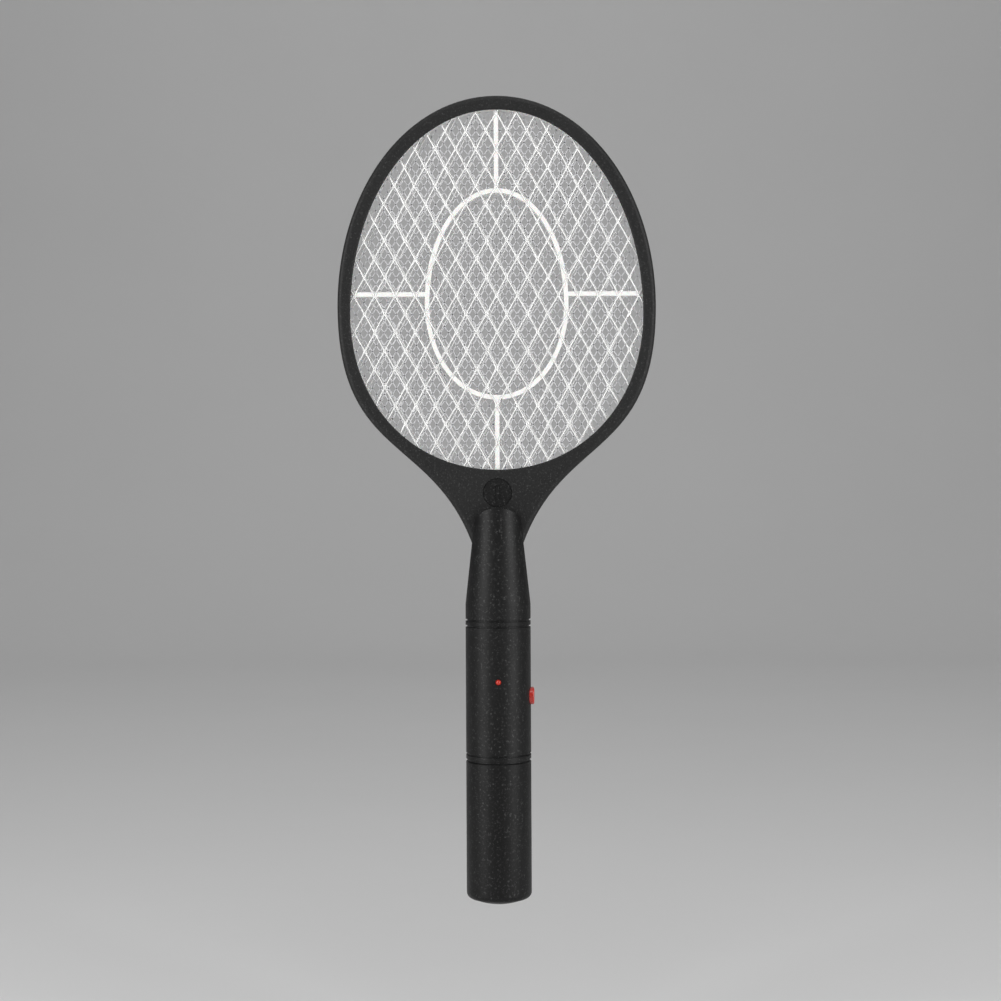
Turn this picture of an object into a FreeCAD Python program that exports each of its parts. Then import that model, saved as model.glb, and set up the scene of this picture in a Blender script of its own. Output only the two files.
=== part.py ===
import FreeCAD, Part
import math
import os
import Sketcher

# Electric fly swatter.  Millimetres.  The origin is the lowest point of the handle, on the handle's
# axis.  +Z runs up the handle to the head, -Y is the front (the side with the lamp) and +X is the
# side with the push button.

Vector = FreeCAD.Vector
doc = FreeCAD.newDocument("fly_swatter")
sheet = doc.addObject("Spreadsheet::Sheet", "Dim")

SIZES = (
    # head outline, measured up from the neck and out from the axis
    ("neck_rise", 118.8, "top of the battery cap to the neck, where head and handle meet"),
    ("lower_length", 129.0, "neck to the widest part of the head"),
    ("upper_length", 114.8, "widest part of the head to its crown"),
    ("head_width", 173.6, "width of the head"),
    ("neck_width", 28.1, "width of the head where it meets the handle"),
    ("neck_splay", 20.4, "angle of the head's edge to the axis at the neck, degrees"),
    ("flare_pull", 63.5, "reach of the flare curve up from the neck"),
    ("shoulder_pull", 83.1, "reach of the side curve down from the widest part"),
    ("crown_round", 0.56, "fullness of the crown; 0.55 is an ellipse"),
    ("belly_round", 0.578, "fullness of the opening's lower half"),
    ("head_thick", 11.6, "front face to back face of the head"),
    ("frame_edge", 2.4, "rounding of the frame's outer edge"),
    ("lip_edge", 0.8, "rounding of the frame's edge at the opening"),
    # opening of the frame and what is clamped behind its lip
    ("side_band", 7.0, "frame width at the side"),
    ("crown_band", 7.6, "frame width at the crown"),
    ("neck_plate", 40.0, "neck to the lower edge of the opening"),
    ("opening_drop", 3.9, "widest part of the opening below that of the head"),
    ("lip_thick", 1.9, "frame lip that covers the edge of a mesh"),
    ("rear_ease", 2.2, "how much wider the rear opening is all round, so that it stays hidden"),
    ("mesh_seat", 4.5, "how far the mesh reaches under the lip"),
    ("seat_gap", 0.2, "gap round a piece in its seat"),
    ("outer_mesh", 0.6, "thickness of the two outer meshes"),
    ("inner_mesh", 0.5, "thickness of the centre mesh"),
    ("coarse_wide", 11.1, "diamond of the outer meshes, across"),
    ("coarse_tall", 20.0, "diamond of the outer meshes, along the handle"),
    ("coarse_strand", 0.9, "strand width of the outer meshes"),
    ("fine_wide", 8.8, "diamond of the centre mesh, across"),
    ("fine_tall", 13.4, "diamond of the centre mesh, along the handle"),
    ("fine_strand", 0.7, "strand width of the centre mesh"),
    ("rear_shift", 1.4, "how far the rear mesh pattern sits to the side of the front one"),
    ("mesh_rim", 3.2, "solid border of each mesh, hidden behind the lip"),
    ("tab_width", 4.0, "width of a mesh's soldering tab"),
    ("tab_length", 7.0, "how far a soldering tab hangs below its mesh"),
    ("tab_offset", 2.5, "soldering tabs and high-voltage leads from the axis"),
    # white rib frame between two meshes
    ("rib_width", 2.4, "width of a rib"),
    ("ring_width", 78.4, "width of the egg-shaped rib"),
    ("ring_above", 63.0, "egg-shaped rib, middle to top"),
    ("ring_below", 52.2, "egg-shaped rib, middle to bottom"),
    ("ring_lift", 1.5, "middle of the egg-shaped rib above the widest part of the head"),
    ("cross_lift", 6.8, "side ribs above the widest part of the head"),
    ("spacer_rim", 3.6, "width of the rib frame's rim, hidden behind the lip"),
    # neck of the frame
    ("neck_wall", 2.6, "side wall of the neck box"),
    ("box_splay", 10.0, "how far the neck box widens past the neck, each side"),
    ("box_bend", 9.0, "neck to where the neck box starts to widen"),
    ("box_gap", 1.6, "web between the neck box and the mesh seat"),
    ("box_waist", 1.4, "extra wall of the neck box at its bend"),
    ("box_cut_tall", 3.0, "height of the cut corners of the neck box"),
    ("box_cut_wide", 2.0, "width of the cut corners of the neck box"),
    ("throat_side", 2.0, "throat of the neck box past the duct, each side"),
    ("tang_length", 24.7, "how far the head reaches down into the handle"),
    ("tang_root", 3.0, "how far the tang reaches up into the neck box"),
    ("tang_width", 19.6, "width of the tang"),
    ("tang_thick", 9.6, "thickness of the tang"),
    ("duct_width", 8.0, "width of the lead duct in the tang"),
    ("duct_depth", 6.8, "thickness of the lead duct in the tang"),
    ("medal_dia", 15.2, "diameter of the medallion"),
    ("medal_lift", 27.4, "medallion above the neck"),
    ("medal_depth", 1.0, "depth of the medallion's seat"),
    ("medal_gap", 0.35, "gap round the medallion"),
    ("medal_sunk", 0.1, "medallion below the frame's face"),
    ("mark_wide", 3.2, "sunken bar of the medallion, across"),
    ("mark_tall", 8.4, "sunken bar of the medallion, along the handle"),
    ("mark_round", 1.2, "corner radius of the sunken bar"),
    ("mark_deep", 0.5, "depth of the sunken bar"),
    ("small_pitch", 29.0, "distance between the frame screws, level with the medallion"),
    ("small_post", 5.2, "diameter of a frame screw's post"),
    ("small_screw", 2.0, "thread of a frame screw"),
    ("small_reach", 3.2, "how far a frame screw reaches into the front half"),
    ("small_head", 4.0, "head of a frame screw"),
    ("small_high", 1.4, "height of a frame screw's head"),
    ("small_sunk", 0.2, "frame screw's head below the frame's face"),
    ("slot_wide", 0.5, "slot of a frame screw, across"),
    ("slot_deep", 0.6, "depth of a frame screw's slot"),
    ("slot_long", 2.8, "length of a frame screw's slot"),
    # cells and what surrounds them: these set the handle's diameter
    ("cell_dia", 14.3, "diameter of a cell"),
    ("cell_body", 49.2, "length of a cell without its nub"),
    ("nub_dia", 5.5, "diameter of a cell's nub"),
    ("nub_length", 1.0, "length of a cell's nub"),
    ("cell_gap", 0.7, "gap between the cells"),
    ("cell_play", 0.15, "gap round a cell in its cradle"),
    ("tray_wall", 1.1, "thinnest wall of the tray"),
    ("tray_clear", 0.25, "gap between tray and cap"),
    ("cap_wall", 1.8, "wall of the battery cap"),
    ("cap_length", 77.9, "floor of the handle to the top of the battery cap"),
    ("cap_gap", 0.12, "gap between the cap and the handle shells"),
    ("cap_crown", 4.6, "height of the cap's domed end"),
    ("cap_round", 3.0, "rounding between the cap's side and its domed end"),
    ("cap_chamfer", 0.4, "chamfer of the cap's mouth"),
    ("tray_foot", 9.4, "lowest face of the tray"),
    ("tray_floor", 3.0, "thickness of the tray's lower wall"),
    ("tray_top", 2.5, "thickness of the tray's upper wall"),
    ("tray_back", 9.5, "front face of the cradle from the axis"),
    ("cradle_low", 1.0, "rear face of the cradle behind the axis"),
    ("tray_lock", 8.0, "how far the tray reaches up into the handle shells"),
    ("collar_wall", 1.6, "wall of the tray's collar"),
    ("spring_room", 7.5, "length of a contact spring under load"),
    ("spring_dia", 9.0, "diameter of a contact spring"),
    ("spring_wire", 0.7, "wire of a contact spring"),
    ("spring_turns", 4.0, "turns of a contact spring"),
    ("plate_thick", 0.4, "thickness of the contact plates"),
    ("plate_inset", 2.3, "contact plates inside the edge of a cell"),
    ("plate_play", 0.1, "gap round the bridge plate in its slot"),
    # handle shells
    ("shell_wall", 2.0, "wall of the handle shells"),
    ("taper_length", 33.4, "neck down to the foot of the taper"),
    ("tongue_rise", 19.1, "neck up to the top of the tongue"),
    ("tongue_arch", 18.0, "radius of the tongue's arched top"),
    ("tongue_proud", 7.8, "how far the tongue's top stands out from the face of the head"),
    ("tongue_corner", 2.6, "rounding between the tongue's arched top and its sides"),
    ("plate_gap", 0.05, "gap between the tongue and the neck plate"),
    ("roof_lift", 8.0, "neck up to the roof of the shells' cavity"),
    ("saddle_half", 4.0, "half height of the saddle that bears on the tang"),
    ("root", 0.8, "how far a post or saddle runs into the wall it stands on"),
    ("groove_depth", 0.9, "depth of the ring grooves"),
    ("groove_width", 1.3, "width of a ring groove"),
    ("band_width", 2.0, "width of a ring band between its grooves"),
    ("band_drop", 10.1, "upper ring band below the foot of the taper"),
    ("lamp_bore", 3.2, "hole for the lamp"),
    ("post_dia", 6.4, "diameter of a screw post"),
    ("post_rise", 12.0, "lower screw post above the cap's top"),
    ("tang_screw", 12.7, "upper screws below the neck"),
    ("tang_pitch", 14.0, "distance between the upper screws"),
    ("screw_dia", 2.5, "thread of a handle screw"),
    ("screw_grip", 0.05, "gap round a screw's thread in its pilot"),
    ("screw_length", 13.0, "length of a handle screw under its head"),
    ("head_dia", 4.8, "head of a handle screw"),
    ("head_high", 1.8, "height of a handle screw's head"),
    ("head_clear", 0.3, "gap round a screw's head"),
    ("head_sunk", 5.0, "seat of the lower screw's head from the axis"),
    ("saddle_bed", 2.5, "seat of an upper screw's head above the tang"),
    ("pilot_spare", 0.6, "pilot past the end of a screw"),
    ("recess_long", 3.2, "cross recess of a handle screw, tip to tip"),
    ("recess_wide", 0.6, "width of a bar of the cross recess"),
    ("recess_deep", 0.7, "depth of the cross recess"),
    # push button and switch
    ("button_rise", 35.3, "centre of the button above the cap's top"),
    ("button_tall", 9.3, "button, along the handle"),
    ("button_wide", 11.2, "button, front to back"),
    ("button_corner", 4.0, "corner radius of the button"),
    ("button_proud", 1.8, "how far the button stands out of the handle"),
    ("button_clear", 0.2, "gap round the button"),
    ("button_edge", 0.9, "rounding of the button's face"),
    ("flange_reach", 1.4, "how far the button's flange reaches past its stem"),
    ("flange_thick", 1.5, "thickness of the button's flange"),
    ("flange_inset", 2.0, "flange below the inner wall of the shells"),
    ("press_travel", 1.2, "travel of the button"),
    ("switch_side", 6.0, "side of the switch body"),
    ("switch_reach", 8.4, "far face of the switch from the axis"),
    ("switch_round", 0.5, "corner radius of the switch body"),
    ("plunger_dia", 3.2, "diameter of the switch plunger"),
    ("plunger_root", 0.4, "relaxed plunger inside the switch's face"),
    ("plunger_clear", 0.1, "gap round the plunger"),
    # circuit board and its components
    ("board_rise", 16.1, "lower edge of the board above the cap's top"),
    ("board_length", 64.0, "length of the board"),
    ("board_clear", 3.58, "side edges of the board inside the shells"),
    ("board_corner", 2.0, "corner radius of the board"),
    ("notch_gap", 0.5, "gap between the pressed button and the board's notch"),
    ("board_thick", 1.6, "thickness of the board"),
    ("board_face", 1.0, "component face of the board behind the axis"),
    ("stand_dia", 4.0, "diameter of the board's stand-offs"),
    ("stand_side", 3.5, "stand-offs inside the board's side edges"),
    ("stand_end", 5.0, "stand-offs inside the board's ends"),
    ("lamp_rise", 44.2, "lamp above the cap's top"),
    ("lamp_dia", 3.0, "diameter of the lamp"),
    ("lamp_proud", 0.6, "how far the lamp stands out of the handle"),
    ("lamp_flange", 3.8, "diameter of the lamp's flange"),
    ("lamp_body", 4.4, "length of the lamp's barrel"),
    ("lamp_base", 0.9, "thickness of the lamp's flange"),
    ("leg_dia", 0.5, "diameter of a lamp leg"),
    ("leg_pitch", 2.54, "distance between the lamp legs"),
    ("coil_rise", 68.0, "centre of the transformer above the cap's top"),
    ("core_width", 13.0, "transformer core, across"),
    ("core_tall", 12.0, "transformer core, along the handle"),
    ("core_deep", 6.0, "transformer core, front to back"),
    ("core_leg", 3.0, "width of the core's legs and yokes"),
    ("coil_play", 0.1, "gap between the winding and the core"),
    ("coil_bulge", 1.6, "how far the winding stands out of the core"),
    ("film_aside", 6.0, "film capacitor from the axis"),
    ("film_rise", 39.5, "film capacitor above the board's lower edge"),
    ("film_wide", 10.0, "film capacitor, across"),
    ("film_tall", 9.0, "film capacitor, along the handle"),
    ("film_deep", 5.5, "film capacitor, off the board"),
    ("film_round", 1.2, "corner radius of the film capacitor"),
    ("chip_aside", 7.5, "transistor from the axis"),
    ("chip_rise", 13.0, "transistor above the board's lower edge"),
    ("chip_wide", 4.8, "transistor, across"),
    ("chip_tall", 3.8, "transistor, along the handle"),
    ("chip_deep", 5.0, "transistor, off the board"),
    ("chip_round", 1.6, "corner radius of the transistor"),
    ("diode_aside", 9.3, "diodes from the axis"),
    ("diode_rise", 48.0, "lowest diode above the board's lower edge"),
    ("diode_step", 2.0, "step between the diodes, one on the left, one on the right, one on the left"),
    ("diode_dia", 2.6, "diameter of a diode"),
    ("diode_long", 5.0, "length of a diode"),
    ("ohm_rise", 3.6, "lowest resistor above the board's lower edge"),
    ("ohm_step", 3.7, "step between the two left resistors"),
    ("ohm_left", 3.0, "left resistors from the axis"),
    ("ohm_right", 6.5, "right resistor from the axis"),
    ("ohm_dia", 2.2, "diameter of a resistor"),
    ("ohm_long", 6.0, "length of a resistor"),
    ("disc_aside", 7.0, "disc capacitors from the axis"),
    ("disc_rise", 35.5, "lower disc capacitor above the board's lower edge"),
    ("disc_step", 5.0, "step between the disc capacitors"),
    ("disc_dia", 7.0, "diameter of a disc capacitor"),
    ("disc_thick", 2.2, "thickness of a disc capacitor"),
    ("lead_dia", 1.2, "diameter of the leads"),
    ("lead_bend", 1.5, "bend radius of the leads"),
    ("lead_stand", 4.0, "battery leads in front of the board"),
    ("lead_dip", 6.0, "battery leads below the board before they rise"),
    ("lead_inset", 1.8, "battery leads' joints inside the board's end"),
    ("high_inset", 3.2, "high-voltage leads' joints inside the board's end"),
    ("high_stand", 5.0, "centre lead in front of the board"),
)

for row, (alias, number, note) in enumerate(SIZES, 1):
    sheet.set(f"A{row}", note)
    sheet.set(f"B{row}", str(number))
    sheet.setAlias(f"B{row}", alias)
doc.recompute()


def size(text):
    """Value of an expression on the sheet, for shapes that need the number itself."""
    return float(sheet.evalExpression(text))


# Heights and radii that several pieces share, as expressions on the sheet.
HANDLE = "(Dim.cell_dia + Dim.cell_gap / 2 + Dim.tray_wall + Dim.tray_clear + Dim.cap_wall)"
BORE = f"({HANDLE} - Dim.shell_wall)"
CAP_BORE = f"({HANDLE} - Dim.cap_wall)"
TRAY = f"({CAP_BORE} - Dim.tray_clear)"
NECK = "(Dim.cap_length + Dim.neck_rise)"
TAPER = f"({NECK} - Dim.taper_length)"
SLOPE = f"(({HANDLE} - Dim.neck_width / 2) / Dim.taper_length)"
TONGUE = f"({NECK} + Dim.tongue_rise)"
TANG = f"({NECK} - Dim.tang_length)"
SHELL_FOOT = "(Dim.cap_length + Dim.cap_gap)"
COLLAR_TOP = "(Dim.cap_length + Dim.tray_lock)"
BOARD_FOOT = "(Dim.cap_length + Dim.board_rise)"
BOARD_TOP = f"({BOARD_FOOT} + Dim.board_length)"
BUTTON = "(Dim.cap_length + Dim.button_rise)"
LAMP = "(Dim.cap_length + Dim.lamp_rise)"
COIL = "(Dim.cap_length + Dim.coil_rise)"
POST = "(Dim.cap_length + Dim.post_rise)"
TANG_SCREW = f"({NECK} - Dim.tang_screw)"
BUTTON_BACK = f"({BORE} - Dim.flange_inset - Dim.flange_thick)"
CELL_X = "((Dim.cell_dia + Dim.cell_gap) / 2)"
CELL_FOOT = "(Dim.tray_foot + Dim.tray_floor)"
CELL_ROOM = "(2 * Dim.plate_thick + Dim.spring_room + Dim.cell_body + Dim.nub_length)"
CELL_TOP = f"({CELL_FOOT} + {CELL_ROOM})"
SEAT_LAP = "(Dim.mesh_seat - Dim.seat_gap)"
TANG_SEAT = "(Dim.tang_thick / 2 + Dim.saddle_bed)"
BOARD_BACK = "(Dim.board_face + Dim.board_thick)"
BOARD_HALF = f"(sqrt({BORE} ^ 2 - {BOARD_BACK} ^ 2) - Dim.board_clear)"
# Handle screws: across, up, and the seat of the head from the axis.
SCREWS = (
    ("0", POST, "Dim.head_sunk"),
    ("-Dim.tang_pitch / 2", TANG_SCREW, TANG_SEAT),
    ("Dim.tang_pitch / 2", TANG_SCREW, TANG_SEAT),
)
# Lengths that only make a cut run clear of the solid it cuts.
EPS = 0.01
OVER = 1.0


# ---------------------------------------------------------------- drawing and feature helpers

def new_body(label):
    """An empty body whose label is the sub-part's name."""
    body = doc.addObject("PartDesign::Body", label)
    body.Label = label
    return body


def corner(step):
    """Place of one corner of an outline, worked out from its expressions."""
    return Vector(size(step[0]), size(step[1]), 0)


def arc(start, end, radius, turn):
    """Arc from start to end; turn is 1 when its centre lies to the left of the way, -1 to the right."""
    chord = end - start
    half = chord.Length / 2
    rise = math.sqrt(max(radius * radius - half * half, 0.0))
    left = Vector(-chord.y, chord.x, 0).normalize()
    centre = (start + end) * 0.5 + left * (rise * turn)
    first, last = (start, end) if turn > 0 else (end, start)
    begin = math.atan2(first.y - centre.y, first.x - centre.x)
    finish = math.atan2(last.y - centre.y, last.x - centre.x)
    circle = Part.Circle(centre, Vector(0, 0, 1), radius)
    return Part.ArcOfCircle(circle, begin, finish)


def bind(sk, constraint, text):
    """Add a constraint and bind its value to the sheet."""
    index = sk.addConstraint(constraint)
    sk.setExpression(f"Constraints[{index}]", text)


def outline(sk, steps):
    """Closed outline.  A step is (x, y) for a line to that corner, or (x, y, radius, turn) for an arc."""
    first = sk.GeometryCount
    count = len(steps)
    ends = []
    for number, step in enumerate(steps):
        here = corner(steps[number - 1])
        there = corner(step)
        if len(step) == 2:
            sk.addGeometry(Part.LineSegment(here, there))
            ends.append((1, 2))
        else:
            sk.addGeometry(arc(here, there, size(step[2]), step[3]))
            ends.append((1, 2) if step[3] > 0 else (2, 1))
    for number, step in enumerate(steps):
        after = (number + 1) % count
        edge = first + number
        tip = ends[number][1]
        sk.addConstraint(Sketcher.Constraint("Coincident", edge, tip, first + after, ends[after][0]))
        there = corner(step)
        bind(sk, Sketcher.Constraint("DistanceX", edge, tip, there.x), step[0])
        bind(sk, Sketcher.Constraint("DistanceY", edge, tip, there.y), step[1])
        if len(step) > 2:
            bind(sk, Sketcher.Constraint("Radius", edge, size(step[2])), step[2])


def ring(sk, x, y, radius):
    """Circle in a sketch."""
    middle = corner((x, y))
    index = sk.addGeometry(Part.Circle(middle, Vector(0, 0, 1), size(radius)))
    bind(sk, Sketcher.Constraint("DistanceX", index, 3, middle.x), x)
    bind(sk, Sketcher.Constraint("DistanceY", index, 3, middle.y), y)
    bind(sk, Sketcher.Constraint("Radius", index, size(radius)), radius)


def box_steps(left, low, right, high):
    """Corners of a rectangle."""
    return [(left, low), (right, low), (right, high), (left, high)]


def pill_steps(x, y, wide, tall, round_by):
    """Corners and arcs of a rectangle with rounded corners, about its centre."""
    steps = []
    for across, up in ((1, -1), (1, 1), (-1, 1), (-1, -1)):
        edge_x = f"{x} + {across} * ({wide}) / 2"
        edge_y = f"{y} + {up} * ({tall}) / 2"
        in_x = f"{x} + {across} * (({wide}) / 2 - {round_by})"
        in_y = f"{y} + {up} * (({tall}) / 2 - {round_by})"
        before, after = ((in_x, edge_y), (edge_x, in_y))
        if across * up > 0:
            before, after = after, before
        steps.append(before)
        steps.append((after[0], after[1], round_by, 1))
    return steps


def drawn(body, plane, loops, offset="0"):
    """Sketch on one of the body's own origin planes, moved along the plane's normal by offset.

    XY_Plane shows X and Y and faces +Z; XZ_Plane shows X and Z and faces -Y; YZ_Plane shows Y and Z
    and faces +X.
    """
    sk = body.newObject("Sketcher::SketchObject", body.Label + "_sketch")
    face = [item for item in body.Origin.OriginFeatures if item.Role == plane][0]
    sk.AttachmentSupport = [(face, "")]
    sk.MapMode = "FlatFace"
    sk.setExpression(".AttachmentOffset.Base.z", offset)
    for loop in loops:
        if loop[0] == "circle":
            ring(sk, *loop[1:])
        else:
            outline(sk, loop)
    return sk


def swept_feature(body, kind, sk, length, forward):
    """Pad or pocket of a sketch over a length, along the sketch's normal when forward is true."""
    feature = body.newObject(kind, body.Label + "_feature")
    feature.Profile = sk
    feature.setExpression("Length", length)
    feature.Reversed = forward if kind == "PartDesign::Pocket" else not forward
    doc.recompute()
    return feature


def pad(body, plane, loops, length, offset="0", forward=True):
    """Material added over a length; it has to add volume."""
    before = body.Shape.Volume if body.Tip else 0.0
    sk = drawn(body, plane, loops, offset)
    swept_feature(body, "PartDesign::Pad", sk, length, forward)
    assert body.Shape.Volume > before, body.Label + ": a pad adds nothing"


def pocket(body, plane, loops, length, offset="0", forward=True):
    """Material removed over a length; it has to remove volume."""
    before = body.Shape.Volume
    sk = drawn(body, plane, loops, offset)
    swept_feature(body, "PartDesign::Pocket", sk, length, forward)
    assert body.Shape.Volume < before, body.Label + ": a pocket cuts nothing"


def turned(body, steps, angle=360, reverse=False):
    """Profile in the XZ plane turned about Z."""
    sk = drawn(body, "XZ_Plane", [steps])
    feature = body.newObject("PartDesign::Revolution", body.Label + "_turned")
    feature.Profile = sk
    feature.ReferenceAxis = (sk, ["V_Axis"])
    feature.Angle = angle
    feature.Reversed = reverse
    doc.recompute()


def rounded(body, radius, wanted):
    """Round those edges of the body for which wanted(edge) is true."""
    names = [f"Edge{i}" for i, edge in enumerate(body.Shape.Edges, 1) if wanted(edge)]
    assert names, body.Label + ": no edge to round"
    base = body.Tip
    feature = body.newObject("PartDesign::Fillet", body.Label + "_round")
    feature.Base = (base, names)
    feature.setExpression("Radius", radius)
    body.Tip = feature
    doc.recompute()
    assert "Invalid" not in feature.State, body.Label + ": a rounding failed"


def moved(obj, x="0", y="0", z="0"):
    """Bind an object's place to the sheet."""
    for axis, text in zip("xyz", (x, y, z)):
        obj.setExpression(f".Placement.Base.{axis}", text)
    return obj


def block(name, low, lengths):
    """Box from its lowest corner and its three lengths."""
    obj = doc.addObject("Part::Box", name)
    for prop, text in zip(("Length", "Width", "Height"), lengths):
        obj.setExpression(prop, text)
    return moved(obj, *low)


TO_X = FreeCAD.Rotation(Vector(0, 1, 0), 90)
TO_Y = FreeCAD.Rotation(Vector(1, 0, 0), -90)
TO_Z = FreeCAD.Rotation()


def rod(name, start, radius, length, turn=TO_Z):
    """Cylinder from the centre of its first face; turn lays its axis along +X, +Y or +Z."""
    obj = doc.addObject("Part::Cylinder", name)
    obj.Placement = FreeCAD.Placement(Vector(), turn)
    obj.setExpression("Radius", radius)
    obj.setExpression("Height", length)
    return moved(obj, *start)


def joined(label, pieces):
    """Pieces in one object; those that touch become one solid, the others stay separate."""
    obj = doc.addObject("Part::MultiFuse", label)
    obj.Shapes = pieces
    obj.Label = label
    return obj


def without(label, base, tool):
    """Base with the tool's space taken out of it."""
    obj = doc.addObject("Part::Cut", label)
    obj.Base = base
    obj.Tool = tool
    obj.Label = label
    return obj


def shaped(label, shape):
    """Sub-part whose free-form shape is worked out with Part's own functions."""
    obj = doc.addObject("Part::Feature", label)
    obj.Shape = shape
    obj.Label = label
    obj.Placement = FreeCAD.Placement()
    return obj


# ---------------------------------------------------------------- curves of the head

def curve(*places):
    """One Bezier edge in the XZ plane."""
    bezier = Part.BezierCurve()
    bezier.setPoles([Vector(x, 0, z) for x, z in places])
    return bezier.toShape()


def egg(half, top, middle, bottom, full_up, full_down):
    """Closed egg-shaped wire: four quarter curves about the axis."""
    up = top - middle
    down = bottom - middle
    edges = []
    for side, rise, full in ((1, up, full_up), (-1, up, full_up), (-1, down, full_down), (1, down, full_down)):
        start = (side * half, middle)
        end = (0, middle + rise)
        lean = (side * half, middle + rise * full)
        reach = (side * half * full, middle + rise)
        edges.append(curve(start, lean, reach, end))
    return Part.Wire(Part.__sortEdges__(edges))


def slab(wire, low, high):
    """Wire in the XZ plane made a plate between two values of Y."""
    face = Part.Face(wire)
    face.translate(Vector(0, low, 0))
    return face.extrude(Vector(0, high - low, 0))


def brick(x_low, x_high, y_low, y_high, z_low, z_high):
    """Rectangular solid between its limits."""
    corner_low = Vector(x_low, y_low, z_low)
    return Part.makeBox(x_high - x_low, y_high - y_low, z_high - z_low, corner_low)


def peg(x, z, radius, low, high):
    """Round solid along Y."""
    return Part.makeCylinder(radius, high - low, Vector(x, low, z), Vector(0, 1, 0))


neck = size(NECK)
head_mid = neck + size("Dim.lower_length")
head_top = head_mid + size("Dim.upper_length")
head_half = size("Dim.head_width / 2")
neck_half = size("Dim.neck_width / 2")
face_y = size("Dim.head_thick / 2")
lip = size("Dim.lip_thick")
seat = size("Dim.mesh_seat")
seat_gap = size("Dim.seat_gap")
open_half = head_half - size("Dim.side_band")
open_top = head_top - size("Dim.crown_band")
open_mid = head_mid - size("Dim.opening_drop")
open_low = neck + size("Dim.neck_plate")
crown_round = size("Dim.crown_round")
belly_round = size("Dim.belly_round")
seat_y = face_y - lip
tab_x = size("Dim.tab_offset")
tab_half = size("Dim.tab_width / 2")
lead_radius = size("Dim.lead_dia / 2")


def opening(grow=0.0):
    """The head's opening, grown outward by a distance."""
    return egg(open_half + grow, open_top + grow, open_mid, open_low - grow, crown_round, belly_round)


def head_outline():
    """Outer edge of the head, down to the straight line across the neck."""
    lean = math.radians(size("Dim.neck_splay"))
    pull = size("Dim.flare_pull")
    reach = size("Dim.shoulder_pull")
    full = crown_round
    edges = [Part.LineSegment(Vector(-neck_half, 0, neck), Vector(neck_half, 0, neck)).toShape()]
    for side in (1, -1):
        widest = (side * head_half, head_mid)
        flare = (side * (neck_half + pull * math.sin(lean)), neck + pull * math.cos(lean))
        shoulder = (side * head_half, head_mid - reach)
        edges.append(curve((side * neck_half, neck), flare, shoulder, widest))
        lean_up = (side * head_half, head_mid + full * (head_top - head_mid))
        crown = (side * full * head_half, head_top)
        edges.append(curve(widest, lean_up, crown, (0, head_top)))
    return Part.Wire(Part.__sortEdges__(edges))


# ---------------------------------------------------------------- frame halves

small_x = size("Dim.small_pitch / 2")
small_z = neck + size("Dim.medal_lift")
small_radius = size("Dim.small_screw / 2")
small_pilot = small_radius + size("Dim.screw_grip")
small_head = size("Dim.small_head / 2")
small_high = size("Dim.small_high")
small_sunk = size("Dim.small_sunk")
small_reach = size("Dim.small_reach")


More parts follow.
